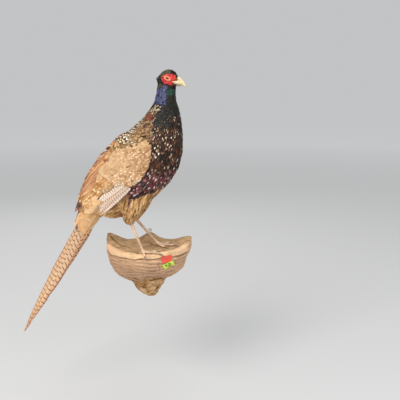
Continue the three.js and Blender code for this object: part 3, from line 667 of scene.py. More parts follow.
def coat_piece(name, grid, points, unrolled, looks, material, replaced=()):
    """One piece of coat from its blades' points, their places on the unrolled skin and their colours."""
    count = len(points)
    shifts = (np.arange(count) * grid.count)[:, None, None]
    mesh = new_mesh(name, bird_to_part(points.reshape(-1, 3)), (grid.faces[None] + shifts).reshape(-1, 4))
    # Sharp rims, so that a blade's top isn't shaded as if it curled over to the underside.
    sharp = np.tile(grid.rim, count)[read_rows(mesh.edges, "vertices", 2, np.int32)].all(axis=1)
    mesh.attributes.new("sharp_edge", "BOOLEAN", "EDGE").data.foreach_set("value", sharp)
    vane = np.broadcast_to(grid.vane, (count, *grid.vane.shape))
    set_map(mesh, "Vane", vane.reshape(-1, 2))
    spread = unrolled[:, None] * (1 - 2 * PATCH) + PATCH + (vane[..., ::-1] - 0.5) * PATCH
    set_map(mesh, "OFBake", spread.reshape(-1, 2))
    for attribute, values in looks.items():
        set_colours(mesh, attribute, np.repeat(values, grid.count, axis=0))
    return hand_over(new_object(name, mesh), material, replaced)


print("a small blade has", len(SMALL.faces) * 2, "triangles")

# %% [markdown]
# ## Feather finishes
# A feather's pattern belongs to the feather: a ground, a fringe, a drop near the tip, bars, or a streak
# along the shaft, and the fine lines of its barbs. One node group draws all of these from the feather's own
# map, and every feather carries its own colours and amounts. The same group also paints shade over the
# root half of every feather, where the next feathers lie over it.

# %% The feather's pattern
AMOUNTS = ("Fringe Amount", "Drop Amount", "Bar Amount", "Streak Amount")
pattern_group = new_group(
    "feather_pattern",
    [
        ("Vane", "Vector"), ("Chance", "Vector"), ("Ground", "Color"), ("Fringe", "Color"), ("Mark", "Color"),
        *((name, "Float", 0.0) for name in (*AMOUNTS, "Bar Edge", "Bow")),
        ("Bars", "Float", 4.0), ("Mottle", "Float", 0.3), ("Grain", "Float", 0.5),
    ],
    [("Color", "Color"), ("Height", "Float"), ("Shaft", "Float")],
)
w = Wiring(pattern_group)
given, out = w.ends()
along, side_place, _ = w.parts(given["Vane"])
chance_x, chance_y, chance_z = w.parts(given["Chance"])
side = side_place * 2 - 1
across = w.math("ABSOLUTE", side)

# Speckles that differ from feather to feather make every border a little uneven.
speckle = w.noise(w.joined(chance_x * 40 + along * 9, chance_y * 40 + side_place * 5), 1.6, 3.0, 0.65)
wobble = speckle * 0.4 - 0.2

# The fringe follows the blade's rim round the tip.
reach = w.length(w.math("MAXIMUM", along - 0.5, 0.0) * 2, across)
fringe = w.step(reach + wobble, 0.66, 0.84) * given["Fringe Amount"]
fringe = w.math("MAXIMUM", fringe, w.step(speckle, 0.5, 0.62) * given["Mottle"])

# A long drop near the tip, off the shaft and of a width by chance.
shift = (chance_y - 0.5) * 0.5
drop_reach = w.length((along - (chance_x * 0.1 + 0.78)) / 0.15, (side + shift) / (chance_z * 0.26 + 0.24))
drop = w.step(drop_reach + wobble, 1.1, 0.7) * given["Drop Amount"]

# Bars lie across the blade, or bow round its tip as the fringe does.
bow_place = along * w.math("SUBTRACT", 1.0, given["Bow"]) + reach * given["Bow"]
bar_turn = bow_place * given["Bars"] + side * (chance_y - 0.5) + chance_x
bar_wave = w.math("SINE", wobble * math.pi + bar_turn * (2 * math.pi))
bar_end = w.math("ADD", given["Bar Edge"], 0.25)
bar = w.step(bar_wave, given["Bar Edge"], bar_end) * given["Bar Amount"]

# A streak runs down the shaft.
edge = along * -0.1 + (chance_z * 0.15 + 0.22)
streak = w.step(across + shift + wobble, edge, edge * 0.5) * w.step(along, 0.4, 0.55)
streak = streak * given["Streak Amount"]

mark = w.math("MINIMUM", drop + bar + streak, 1.0)
barbs = w.noise(w.joined((along - across * 0.35) * 60, side_place * 2.5), 1.0, 1.0, 0.5)
colour = w.mix(mark, w.mix(fringe, given["Ground"], given["Fringe"]), given["Mark"])
# The barbs' fine grain, times painted shade that darkens the root half of the blade where the next feathers
# lie over it.
grain_and_root_shade = ((barbs - 0.5) * given["Grain"] + 1) * w.step(along, 0.25, 0.75, 0.87, 1.0)
shaft = w.step(across, 0.09, 0.03)
w.put(out["Color"], w.mix(1.0, colour, w.joined(grain_and_root_shade, grain_and_root_shade, grain_and_root_shade), "MULTIPLY"))
w.put(out["Height"], barbs + shaft * 0.6)
w.put(out["Shaft"], shaft)
print("pattern group:", len(pattern_group.nodes), "nodes")

# %% Feather materials
def feather_material(name, roughness, shaft_light=0.12, grain=0.5, mottle=0.3, **drawing):
    """A finish for feathers with colours of their own; drawing sets the pattern's other inputs."""
    w = new_material(name)
    shares = [*w.parts(w.attribute("Amounts", "Vector")), w.attribute("Amounts", "Alpha")]
    drawn = w.group(
        pattern_group, Vane=w.value("UV", "ShaderNodeUVMap", {"uv_map": "Vane"}),
        Chance=w.attribute("Chance", "Vector"), Bars=w.attribute("Bars", "Fac"), Mottle=mottle, Grain=grain,
        **{key: w.attribute(key) for key in ("Ground", "Fringe", "Mark")}, **dict(zip(AMOUNTS, shares)),
        **drawing,
    )
    light = w.mix(w.math("MULTIPLY", drawn["Shaft"], shaft_light), drawn["Color"], paint("E8D8BE"))
    return w.finish(light, roughness, drawn["Height"], 0.35, 0.0003, Specular_IOR_Level=0.2)


body_finish = feather_material("body_feather", 0.6, shaft_light=0.05, mottle=0.55)
mantle_finish = feather_material("mantle_feather", 0.65, Bar_Edge=0.4, Bow=1.0)
belly_finish = feather_material("belly_feather", 0.85, shaft_light=0.03, grain=0.8, mottle=0.6)
neck_finish = feather_material("neck_feather", 0.45, shaft_light=0.0, mottle=0.5)
head_finish = feather_material("head_feather", 0.6, shaft_light=0.0, mottle=0.4)
wing_finish = feather_material("wing_feather", 0.7, 0.06, grain=0.4, mottle=0.2, Bar_Edge=0.35, Bow=1.0)
rump_finish = feather_material("rump_feather", 0.75, shaft_light=0.05, grain=0.6, mottle=0.2)
print("feather finishes ready")

# %% [markdown]
# ## Where the colours lie
# A cock pheasant is a patchwork: a violet and green neck, a dark breast sown with pale drops, a scaled
# mantle, straw-coloured wings and an orange rump. Each zone is a soft mask over the bird's side view. A
# feather belongs to a zone or it doesn't, so a zone's border falls between feathers and looks grown, not
# airbrushed. The skin asks the same function for its colours.

# %% Zones of colour
BACK_LINE = sorted((z, x) for x, z, _, _ in SECTIONS)
FRONT_LINE = sorted((z, x) for _, _, x, z in SECTIONS[:13])


def side_share(places):
    """0 at the back's outline and 1 at the front's, in the side view."""
    z = places[:, 2]
    back = np.interp(z, *zip(*BACK_LINE))
    front = np.interp(z, *zip(*FRONT_LINE))
    return (places[:, 0] - back) / (front - back)


def blob(places, x, z, reach_x, reach_z):
    """A soft oval zone in the side view."""
    distance = np.hypot((places[:, 0] - x) / reach_x, (places[:, 2] - z) / reach_z)
    return fade(distance, 0.75, 1.15)


def off_line(places, first, last):
    """Distance in the side view to the left of the way from one point to another."""
    along = np.subtract(last, first) / np.hypot(*np.subtract(last, first))
    return (places[:, -1] - first[1]) * along[0] - (places[:, 0] - first[0]) * along[1]


def beyond(places, first, last, soft):
    """The zone to the left of a line, with a soft border."""
    return ramp(off_line(places, first, last), -soft, soft)


print("back and front lines:", len(BACK_LINE), "and", len(FRONT_LINE), "points")

# %% Plumage, laid on zone by zone
BOWS = 2.6  # how many bows a feather with bows has, from its middle to its rim


class Plumage:
    def __init__(self, places, rng):
        self.places = places
        self.rng = rng
        self.looks = {name: np.zeros((len(places), 3)) for name in ("Ground", "Fringe", "Mark")}
        self.looks["Amounts"] = np.zeros((len(places), 4))
        self.looks["Chance"] = rng.random((len(places), 3))
        self.looks["Bars"] = np.full((len(places), 1), BOWS)

    def pick(self, codes, count):
        colours = np.array([paint(code) for code in codes.split()])
        return colours[self.rng.integers(0, len(colours), count)]

    def zone(self, mask, ground, fringe, mark=None, fringed=0.0, drops=0.0, bars=0.0, streaks=0.0,
             share=1.0, bows=BOWS, start=None):
        """Repaints the feathers that the mask takes. Share is how many of them carry their mark."""
        taken = self.rng.random(len(self.places)) < mask
        count = int(taken.sum())
        marked = (self.rng.random(count) < share) * self.rng.uniform(0.6, 1.0, count)
        self.looks["Ground"][taken] = self.pick(ground, count)
        self.looks["Fringe"][taken] = self.pick(fringe, count)
        self.looks["Mark"][taken] = self.pick(mark or ground, count)
        amounts = np.array([fringed, drops, bars, streaks]) * np.ones((count, 1))
        amounts[:, 0] *= self.rng.uniform(0.6, 1.1, count)
        amounts[:, 1:] *= marked[:, None]
        self.looks["Amounts"][taken] = amounts
        self.looks["Bars"][taken] = bows
        if start is not None:
            self.looks["Chance"][taken, 0] = self.rng.uniform(*start, count)
        return self

    def finished(self, vary=0.12):
        """The looks, each feather a little lighter or darker than the next."""
        light = 1 + vary * self.rng.uniform(-1, 1, (len(self.places), 1))
        for name in ("Ground", "Fringe", "Mark"):
            self.looks[name] = np.clip(self.looks[name] * light, 0, 1)
        return self.looks


print("amounts of each feather:", AMOUNTS)

# %% Colours of the body's zones
VIOLET = "3B3F5E 565C8C 2A2E4C 6A70A6 343853 454A68 3E4C60 4A4070"
THROAT = "15180F 1C1F18 12140F 24251E 2C1C18"
CHEST = "14130F 1B1916 22211E 2A2C2A 100E0C"
BREAST = "1A100C 26170F 361F15 1C120D 110B08 462A1C"
CREAM = "E8DCC8 D8C6AC B89A7C 8E7058 A5866A"
FLANK = "1E1014 2C141A 140E10 3A281C 2E1C20 4A3024"
BERRY = "C02E3C B45868 D8B8B0 C88088 8E2A3A B08080 9A3A48 E8DCD4 7A5A50"
BELLY = "C0925E CCA06A 946A42 725030 D4A670 A67C4C"
RUMP = "DCB07C E2B88A D2A26E DEB484"


def mantle_share(places):
    """The part of the back in front of the wing, where every feather has a pale bow."""
    return beyond(places, (-14, 290), (-6, 345), 4) * ramp(places[:, 2], 256, 268)


def body_plumage(places, rng):
    """The looks of the feathers on head, neck, trunk, thighs and rump."""
    x = places[:, 0]
    z = places[:, 2]
    share = side_share(places)
    coat = Plumage(places, rng)
    browns = "5A3220 46281A 6E4830 2A1810 805A40"
    coat.zone(1, BREAST, browns, CREAM, fringed=0.8, drops=1.0, share=0.56)
    drops = ramp(z, 262, 276) * fade(z, 314, 330) * ramp(share, 0.4, 0.5)
    coat.zone(drops * 0.3, BREAST, browns, "F0E4D0 E4D2B6 D0B898", fringed=0.3, drops=1.0)
    vees = ramp(z, 232, 242) * fade(z, 262, 276) * ramp(share, 0.4, 0.5)
    coat.zone(vees * 0.3, BREAST, browns, "D0B292 B89070 9A7458", fringed=0.4, bars=0.9, bows=1.3,
              start=(0.4, 0.6))
    front = ramp(share, 0.7, 0.86) * ramp(z, 200, 225) * fade(z, 340, 365)
    coat.zone(front * 0.75, "120D0A 1A110C 0D0A08", browns, "6E3A1C 7A4622 C0A078 4A2E20", fringed=0.35,
              streaks=1.0, share=0.5)
    low = fade(z + 0.25 * x, 212, 246)
    reds = "8A3440 5E2A30 8E4A4E 6A564A 4A2A28 B08884 9A7A70"
    coat.zone(low, FLANK, reds, BERRY, fringed=0.65, drops=1.0, share=0.75)
    coat.zone(low * 0.08, FLANK, reds, "F0E6DE E0C4BC", fringed=0.5, streaks=1.0)
    chest = ramp(z, 318, 338) * ramp(share, 0.36, 0.46)
    chest = chest * (1 - 0.65 * ramp(share, 0.72, 0.86) * fade(z, 345, 360))
    coat.zone(chest, CHEST, "3A352C 201E1A 44403A 34302C", "8E8270 75583F", fringed=0.5, drops=0.8,
              share=0.14)
    mantle = ramp(z, 262, 280) * fade(share, 0.3, 0.42)
    coat.zone(mantle, "241812 33221A", "8A5C34 6E4426 A5774A", CREAM, fringed=0.8, bars=0.6, share=0.5)
    coat.zone(mantle_share(places), "4A2C1E 54331F 3A2418", "4A2E1E 33211A 6A4830", "F4EAD8 E8D6B8 DCC4A0",
              fringed=0.8, bars=1.0, bows=1.1, start=(0.46, 0.54), share=0.8)
    scaled = ramp(z, 292, 297) * fade(z - 0.35 * x, 326, 332) * fade(x, 18, 26)
    scaled = scaled * ramp(x + 0.5 * np.abs(z - 308), -26, -18)
    coat.zone(scaled, "A37B52 B08A60 8C6644 B58F66", "4A3220 3E2818", "38251A 4A3220", fringed=0.8,
              bars=0.9, share=0.8)
    coat.zone(blob(places, 12, 349, 9, 7), "7E3C24 94503A 6A3020", "3A2016", fringed=0.4)
    coat.zone(blob(places, 5, 336.5, 17, 3.5), "B8976E 9A7A58 C9A57A", "5A3E28", fringed=0.5)
    back = fade(z, 262, 280) * fade(share, 0.3, 0.4) * fade(x, -60, -40)
    coat.zone(back, "B9826A 8A5A3C C98F5E 9A6A50", "5A3624 E0B58E", "4A2C1E", fringed=0.7, streaks=0.8,
              share=0.5)
    belly = beyond(places, (46, 180), (-42, 138), 4) * fade(z, 190, 210)
    belly = np.maximum(belly, fade(x, -46, -36) * fade(z, 196, 210) * ramp(share, 0.3, 0.4))
    coat.zone(belly, BELLY, "8A6440 D0A878 9C7648 5E4428", "5E4428 DCBC90", fringed=0.6, streaks=0.7,
              share=0.4)
    rump = fade(x + 0.5 * z, -50, -36) * fade(z, 136, 158)
    coat.zone(rump, RUMP, "C98F58 E6C294", "B07A45", fringed=0.3, streaks=0.3, share=0.2)
    over_tail = rump * fade(z, 70, 84)
    coat.zone(over_tail, "E4C094 DCB080 EBCDA2 E2B888", "A87444 C09060", "7A4E2E", fringed=0.4, streaks=0.3,
              share=0.3)
    dark_edge = blob(places, -188, 118, 16, 22)
    coat.zone(dark_edge, "C88E58 B97C4A D8A470", "4A2A18 5E3820", "3A2014", fringed=0.9, streaks=0.5,
              share=0.5)
    neck = ramp(z, 366, 372)
    coat.zone(neck, THROAT, "2E342A 14160F 33231C 3A4038", fringed=0.5)
    violet = ramp(z, 372, 384) * fade(share, 0.55, 0.68) * fade(z, 414, 424)
    coat.zone(violet, VIOLET, "1C1F3C 2E3C4A 6A6EA0 2E243C", fringed=0.6)
    coat.zone(0.85 * blob(places, 60, 408, 10, 9), "234238 2C5244 1C352C", "141C18 3A4A48", fringed=0.5)
    collar = ramp(z, 360, 364) * fade(z, 373, 377) * ramp(share, 0.12, 0.2)
    collar = collar * fade(share, 0.4, 0.5)
    coat.zone(0.85 * collar, "B8A282 9A8664 CDBC9A", "5A4B38", "4A3424", fringed=0.6, drops=0.9, share=0.5)
    head = ramp(z, 421, 427)
    coat.zone(head, "1E1D18 181812 26231D 1D1B16", "12120E 3A3228", fringed=0.4)
    coat.zone(0.75 * blob(places, 34, 424, 9, 8), "54483A 64563E 3E3428 4A4A38", "2A241A", fringed=0.5)
    crown = ramp(z + 0.12 * (60 - x), 444, 450) * fade(x, 58, 66)
    coat.zone(crown, "5A5440 4A4434 665A44 343024 6E5A48 505A44", "2A261C", fringed=0.5)
    return coat.finished()


print("violet of the neck:", len(VIOLET.split()), "tones")

# %% Depth of the coat
def depth_of_coat(places):
    """How deep the coat is: least on the face, most where the rump runs out on the tail."""
    on_tail = ramp(-places[:, 2] - 0.3 * places[:, 0], -50, -22)
    return np.interp(places[:, 2], (360, 385, 410, 430, 445), (3.3, 2.6, 2.2, 1.3, 1.1)) + 4 * on_tail


print("coat on the nape:", depth_of_coat(np.array([[20.0, 0.0, 400.0]])).round(1), "mm deep")

# %% [markdown]
# ## The skin's own mesh
# The skin is the fused body drawn inwards by the depth of the coat. It carries the ground colours and shows
# only in the finest gaps, round the eye and where legs leave the thigh feathers.

# %% Skin
# The bare skin in front of the eye.
LORES = np.array([(61, 441), (71.5, 440.5), (76, 436), (77, 420), (62, 421), (60, 428)], float)
WING_OUTLINE = np.array([
    (-20, 306), (8, 299), (21, 284), (24, 265), (20, 243), (8, 219), (-8, 199), (-28, 183), (-46, 172),
    (-70, 160), (-98, 142), (-122, 128), (-146, 114), (-172, 110), (-190, 116), (-200, 132), (-206, 160),
    (-176, 214), (-130, 268), (-70, 306),
], float)


def inside_depth(x, z, corners):
    """Distance inside a closed outline in the side view, negative outside it."""
    places = np.stack([np.ravel(x), np.ravel(z)], axis=1)
    nearest = np.full(len(places), 1e9)
    crossings = np.zeros(len(places), int)
    for first, last in zip(corners, np.roll(corners, -1, axis=0)):
        side = last - first
        t = np.clip(((places - first) @ side) / (side @ side), 0, 1)
        nearest = np.minimum(nearest, np.linalg.norm(places - first - t[:, None] * side, axis=1))
        spans = (first[1] > places[:, 1]) != (last[1] > places[:, 1])
        crossing_x = first[0] + (places[:, 1] - first[1]) * side[0] / (side[1] or 1e-9)
        crossings += spans & (places[:, 0] < crossing_x)
    return np.where(crossings % 2 == 1, nearest, -nearest).reshape(np.shape(x))


skin_inner = skin_points - skin_normals * depth_of_coat(skin_points)[:, None]
tailward = unit(np.array([-0.457, 0, -0.889]))
past_rump = np.maximum(skin_inner @ tailward + 12, 0)  # the skin ends under the rump, where the quills begin
skin_inner = skin_inner - past_rump[:, None] * tailward
skin_ground = body_plumage(skin_points, np.random.default_rng(5))["Ground"]
skin_ground[inside_depth(skin_points[:, 0], skin_points[:, 2], LORES) > 0] = paint("9A5A40")
skin_ground[inside_depth(skin_points[:, 0], skin_points[:, 2], WING_OUTLINE) > 2] = paint("B8915F")
skin_mesh = new_mesh("skin", bird_to_part(skin_inner), skin_faces)
set_colours(skin_mesh, "Ground", skin_ground)

w = new_material("skin")
fine = w.noise(w.place(), 420.0, 3.0)
skin_finish = w.finish(w.mix(fine * 0.4, w.attribute("Ground"), paint("1C1510")), 0.85, fine, 0.4, 0.0004)
hand_over(new_object("skin", skin_mesh), skin_finish, FLESH + WINGS)

# %% [markdown]
# ## The folded wing as a step
# The closed wing lies on the trunk like a shield nine millimetres thick. Feathers of the mantle flow over its
# upper edge. Their lift comes from one question: how far inside the wing's outline is this place?

# %% The wing's outline
WING_LIFT = 9.0
WING_TOP = [(-200, 5), (-60, 26), (0, 38)]  # x and the upper edge's distance from the middle plane
WING_SHOULDER = [(-180, 5), (0, 40)]  # the same where the wing has come up to its full lift


def wing_depth(places):
    """Distance inside the folded wing's edge, seen from the side and from above."""
    depth = inside_depth(places[..., 0], places[..., 2], WING_OUTLINE)
    top_edge = np.interp(places[..., 0], *zip(*WING_TOP))
    return np.minimum(depth, np.abs(places[..., 1]) - top_edge)


def wing_lift(places):
    """How far the wing's feathers stand off the trunk: less where the wing runs out on the back."""
    shoulder = np.interp(places[..., 0], *zip(*WING_SHOULDER))
    return WING_LIFT * ramp(np.abs(places[..., 1]) - shoulder, -20, 2) * 0.65 + 0.35 * WING_LIFT


def over_the_wing(places):
    """The lift of a feather that flows over the wing's upper edge."""
    return wing_lift(places) * ramp(wing_depth(places), -9, 3)


print("inside the wing at its middle:", inside_depth(-60.0, 230.0, WING_OUTLINE).round(1))

# %% [markdown]
# ## Body feathers
# Breast, neck and rump feathers are made hoop by hoop, and their size grows from the neck to the rump. What
# lies under the folded wing is left out, except for a margin under the wing's edge.

# %% Rows of body feathers
# Height, length and width as a share of the length.
FEATHER_SIZES = [
    (60, 40, 0.42), (110, 32, 0.46), (150, 27, 0.5), (200, 24, 0.56), (260, 22, 0.56), (320, 19, 0.56),
    (350, 16, 0.54), (372, 13, 0.52), (400, 11, 0.52), (420, 9, 0.56), (440, 6, 0.6),
]
PITCH = 0.29  # from row to row, as a share of a feather's length
SPREAD = 0.6  # from feather to feather, as a share of its width


def body_size(places):
    heights, lengths, shares = zip(*FEATHER_SIZES)
    length = np.interp(places[:, 2], heights, lengths)
    on_back = 1 - ramp(side_share(places), 0.25, 0.5)
    length = length * (1 + 0.25 * on_back * (places[:, 2] < 300)) * (1 + 0.3 * mantle_share(places))
    return length, length * np.interp(places[:, 2], heights, shares)


rng = np.random.default_rng(11)
coat_end = body_hoops.length[-1] - 14
roots, ways, unrolled = rows_on_hoops(body_hoops, 16, coat_end, body_size, PITCH, SPREAD, rng)
roots, ways, unrolled = kept(wing_depth(roots) < 10 - 5 * mantle_share(roots), roots, ways, unrolled)
lengths, widths = body_size(roots)
body_looks = body_plumage(roots + ways * (0.6 * lengths)[:, None], rng)
print("body feathers:", len(roots), "from", lengths.min().round(1), "to", lengths.max().round(1), "mm")

# %% Coat of neck, trunk and rump
def lay_coat(name, chosen, material, pointed=0.0, ragged=0.06, fray=0.3, over=None, camber=0.06,
             surface=body, sunk=0.92, over_tip=0.0):
    """Lays the chosen rows of body feathers as one piece of coat."""
    deep = np.minimum(depth_of_coat(roots[chosen]), 4.4)
    size = rng.uniform(0.85, 1.15, (2, chosen.sum()))
    points = lay_blades(
        surface, SMALL, roots[chosen], ways[chosen], lengths[chosen] * size[0], widths[chosen] * size[1],
        -sunk * deep, -0.1 * deep + over_tip, rng, pointed, ragged, camber, fray, over,
    )
    looks = {key: values[chosen] for key, values in body_looks.items()}
    return coat_piece(name, SMALL, points, unrolled[chosen], looks, material)


is_neck = roots[:, 2] > 362
is_rump = ((roots[:, 0] + 0.5 * roots[:, 2]) < -72) & (roots[:, 2] < 158)
is_mantle = ~is_neck & ~is_rump & (side_share(roots) < 0.42)
is_belly = ~is_neck & ~is_rump & ~is_mantle & (roots[:, 2] < 150)
is_breast = ~(is_neck | is_rump | is_mantle | is_belly)
rump_surface = Surface(*fused(["trunk", "tail_coverts", "tail_middle"], 1.6 * MM, 6))
lay_coat("coat_neck", is_neck, neck_finish, pointed=0.3, fray=0.2, camber=0.03)
lay_coat("coat_breast", is_breast, body_finish, pointed=0.15, ragged=0.1)
lay_coat("coat_mantle", is_mantle, mantle_finish, over=over_the_wing,
         over_tip=1.3 * mantle_share(roots[is_mantle]))
lay_coat("coat_belly", is_belly, belly_finish, pointed=0.6, ragged=0.25, fray=1.2)
lay_coat("coat_rump", is_rump & (roots @ tailward < 6), rump_finish, pointed=0.4,
         ragged=0.14, fray=0.2, camber=0.03, surface=rump_surface, sunk=0.35, over_tip=0.8)

# %% [markdown]
# ## Thigh feathers
# The thighs are short trousers of soft, loose feathers. The same hoops serve, this time round a thigh's own
# slanting middle line, and only near that line, so that the trunk behind it stays free.

# %% Coat of the thighs
flesh = Surface(*fused(FLESH, SKIN_VOXEL, 6))
# The thigh's middle line from the hip to the heel: x, distance from the middle plane, z and reach.
THIGHS = {
    "right": [(-24, 34, 158, 36), (-30, 36, 128, 31), (-35, 38, 108, 24), (-39, 39, 94, 15),
              (-39, 38, 87, 8)],
    "left": [(-25, 32, 150, 34), (-31, 34, 124, 27), (-37, 35, 104, 20), (-43, 34, 90, 13), (-46, 34, 82, 8)],
}
THIGH_STEPS = 17
THIGH_PITCH = 0.26


def thigh_size(places):
    length = np.interp(places[:, 2], (84, 110, 150), (10, 19, 26))
    return length, length * 0.42


for name, side in SIDES.items():
    rows = smooth_path(THIGHS[name], THIGH_STEPS)
    thigh_hoops = Hoops(flesh, rows[:, :3] * [1, side, 1], [1.0, 0.0, 0.25])
    thigh_rng = np.random.default_rng(21 + side)
    places, lies, flat = rows_on_hoops(
        thigh_hoops, 1, thigh_hoops.length[-1], thigh_size, THIGH_PITCH, 0.6, thigh_rng)
    middle_x, reach = (np.interp(places[:, 2], rows[::-1, 2], rows[::-1, k]) for k in (0, 3))
    on_thigh = np.hypot(places[:, 0] - middle_x, places[:, 1] - side * 37) < reach * 1.3
    places, lies, flat = kept(on_thigh & (side * places[:, 1] > 8), places, lies, flat)
    lies = unit(lies + np.array([-0.1, 0, -0.6]))
    length, width = thigh_size(places)
    looks = body_plumage(places + lies * length[:, None] * 0.5, thigh_rng)
    points = lay_blades(flesh, SMALL, places, lies, length, width, -2.8, 0.1, thigh_rng, 0.6, 0.22, fray=1.0)
    coat_piece(f"coat_thigh_{name}", SMALL, points, flat, looks, belly_finish)

# %% [markdown]
# ## Head feathers
# Feathers of the face are the smallest of all. They spread out from the root of the bill like rays and turn
# down the neck at the back of the head. The bare face stays free of them, and a narrow tuft stands out
# behind the crown on each side.

# %% Coat of the head
BILL_ROOT = np.array([76, 0, 433.0])
# The head's middle line from the bill's root to the nape: x, z.
HEAD_LINE = [(71, 433), (62, 434), (52, 434), (42, 434), (34, 433), (28, 432), (25, 431)]
FACE_OUTLINE = np.array([
    (36, 436), (42, 440.5), (52, 443), (61, 443.5), (69, 441), (71, 436), (66, 430.5), (62.5, 422),
    (58, 414.5), (51, 414.5), (46, 421), (40, 430),
], float)
HEAD_STEPS = 25
face_surface = Surface(*fused(["head", "neck", "wattle_right", "wattle_left"], 0.9 * MM, 3))
BILL_EDGE = 70.5


def head_size(places):
    length = np.interp(places[:, 0], (24, 40, 60, 72), (8.5, 6.5, 5.0, 3.6))
    return length, length * 0.62


head_hoops = Hoops(body, upright(*smooth_path(HEAD_LINE, HEAD_STEPS).T), [0.0, 0.0, 1.0])
head_rng = np.random.default_rng(31)
places, lies, flat = rows_on_hoops(head_hoops, 0.5, head_hoops.length[-1], head_size, 0.36, 0.6, head_rng)
x, _, z = places.T
covered = (z > 414) & (inside_depth(x, z, FACE_OUTLINE) < -0.2) & (inside_depth(x, z, LORES) < 0)
places, lies, flat = kept(covered & ((x < BILL_EDGE) | (z > 441)), places, lies, flat)
turning = ramp(places[:, 0], 48, 27)[:, None]
lies = unit(unit(places - BILL_ROOT) * (1 - 0.75 * turning) + turning * np.array([0, 0, -1.0]))
length, width = head_size(places)
points = lay_blades(face_surface, TINY, places, lies, length, width, -1.1, 0.3, head_rng, camber=0.12,
                    fray=0.15)
coat_piece("coat_head", TINY, points, flat, body_plumage(places, head_rng), head_finish)

# %% Ear tufts
TUFT_COUNT = 16
TUFT_ROOT = np.array([35.0, 12.5, 443.0])
tuft_roots = []
tuft_ways = []
for side in SIDES.values():
    spread = head_rng.uniform(-1, 1, (TUFT_COUNT, 3)) * [4.0, 2.0, 3.5]
    tuft_roots.append((TUFT_ROOT + spread) * [1, side, 1])
    tuft_ways.append(np.array([-1.0, 0.12 * side, -0.35]) + head_rng.uniform(-0.12, 0.12, (TUFT_COUNT, 3)))
tuft_roots = np.concatenate(tuft_roots)
tuft_ways = unit(np.concatenate(tuft_ways))
tuft_lengths = head_rng.uniform(11, 16, len(tuft_roots))
points = lay_blades(body, SMALL, tuft_roots, tuft_ways, tuft_lengths, 3.2, -0.8, 3.2, head_rng, 0.8, fray=0.8)
tuft_map = head_rng.uniform(0.1, 0.9, (len(tuft_roots), 2))
tuft_looks = Plumage(tuft_roots, head_rng).zone(1, THROAT + " 8C8C82", "171914 3A4438", fringed=0.4)
coat_piece("ear_tufts", SMALL, points, tuft_map, tuft_looks.finished(), head_finish)

# %% [markdown]
# ## The folded wings
# The wing is a fan of feathers shut over the body, so every feather points to one place behind the tip.
# Small coverts tile the front in rows; long tertials and secondaries run along the back and the lower edge;
# the pale primaries show below as a narrow strip.

# %% Wing zones
WING_AIM = np.array([-262.0, 66.0])
WING_ALONG = np.array([-0.8, -0.6])
WING_ACROSS = np.array([-0.6, 0.8])
STRAW = "C9A47A C19C72 CFAC84 B9946A"
TAN = "B6804C C28E58 AA7642 CA9864"
COVERT_EDGE = [(24, 238), (8, 213), (-14, 193), (-35, 181), (-42, 186), (-56, 190), (-106, 165),
               (-151, 142), (-176, 124), (-196, 112)]
PRIMARY_END = -110  # x of the primaries' cut ends
TERTIAL_EDGE = ((-78, 275), (-118, 155))  # behind this line the tertials show


def below_coverts(places):
    """How far below the edge of the last coverts a place lies, in the side view."""
    x, z = np.array(COVERT_EDGE).T
    return np.interp(places[:, 0], x[::-1], z[::-1]) - places[:, -1]


def wing_plumage(places, rng):
    x, _, z = places.T
    from_lower = -below_coverts(places)
    from_front = off_line(places, (20, 240), (14, 300))
    from_top = off_line(places, (14, 300), (-100, 266))
    from_back = off_line(places, (-100, 266), (-204, 130))
    coat = Plumage(places, rng)
    coat.zone(1, STRAW, "B08C60 C6A074 D6B48A", "86603A 765432", fringed=0.35, streaks=0.7, share=0.32)
    lower = fade(from_lower, 12, 48)
    front = fade(from_front, 24, 66)
    scaled = np.maximum(front * fade(z, 262, 288), lower * ramp(x, -100, -66))
    coat.zone(0.9 * scaled, "D4AA80 C89C72 DAB890 C09468", "90693F A07C54 84603C", "7A5438 6A4630 F4E4CC",
              fringed=0.6, bars=0.85, share=0.7)
    coat.zone(0.4 * scaled, "D0A276 C4966A", "A07850 B08A60", "F6E6CE ECD6B6", fringed=0.4, drops=1.0,
              share=0.8)
    coat.zone(0.6 * front * fade(z, 262, 288), "B78A60 A67A52 C29468", "6E4A2E 7A5638", "5A3A24 E8D2B2",
              fringed=0.6, bars=0.8, share=0.7)
    tan = fade(from_lower, 22, 52) * fade(x, -92, -64)
    coat.zone(tan, TAN, "8E5E36 A87648", "F0DDB8 E0C49A", fringed=0.5, drops=0.85, share=0.5)
    top = fade(from_top, 2, 12)
    coat.zone(0.7 * top, "98784E 836642 A88458 705638", "54402A", "D8BC84", fringed=0.6, bars=0.6,
              share=0.4)
    coat.zone(fade(from_lower, 4, 11) * ramp(x, -112, -90), "DCC29A D0AE80 E6D0B0", "6A4630", "6A4630",
              fringed=0.5, bars=0.8)
    coat.zone(fade(from_back, 8, 30), "BE8450 B47A52 CF9862 A06C42", "5E3A22 D8A878", "4A2C1E", fringed=0.6,
              streaks=0.9, share=0.5)
    under = ramp(below_coverts(places), -2, 3) * (x < PRIMARY_END + 8)
    coat.zone(0.75 * under, RUMP, "B07C4A E0BC8C", "EED8B0 A87242", fringed=0.4, drops=0.7, share=0.5)
    return coat.finished(0.05)


def wing_side(flat_places, side):
    """Places on the body's surface under side-view points of one wing."""
    starts = upright(*flat_places.T) + [0, 0.5 * side, 0]
    return body.cast(starts, np.broadcast_to([0.0, float(side), 0.0], starts.shape))


print("wing zones ready")

# %% Wing coverts
COVERT_SIZES = [(0, 10), (40, 13), (90, 19), (150, 25), (210, 29)]  # distance from the shoulder, length
SHOULDER = np.array([22.0, 285.0])
COVERT_PITCH = 0.32
COVERT_SPREAD = 0.58
COVERT_WIDTH = 0.54  # as a share of its length
WING_ROWS_END = 222


def covert_length(flat_places):
    return np.interp(np.hypot(*(flat_places - SHOULDER).T), *zip(*COVERT_SIZES))


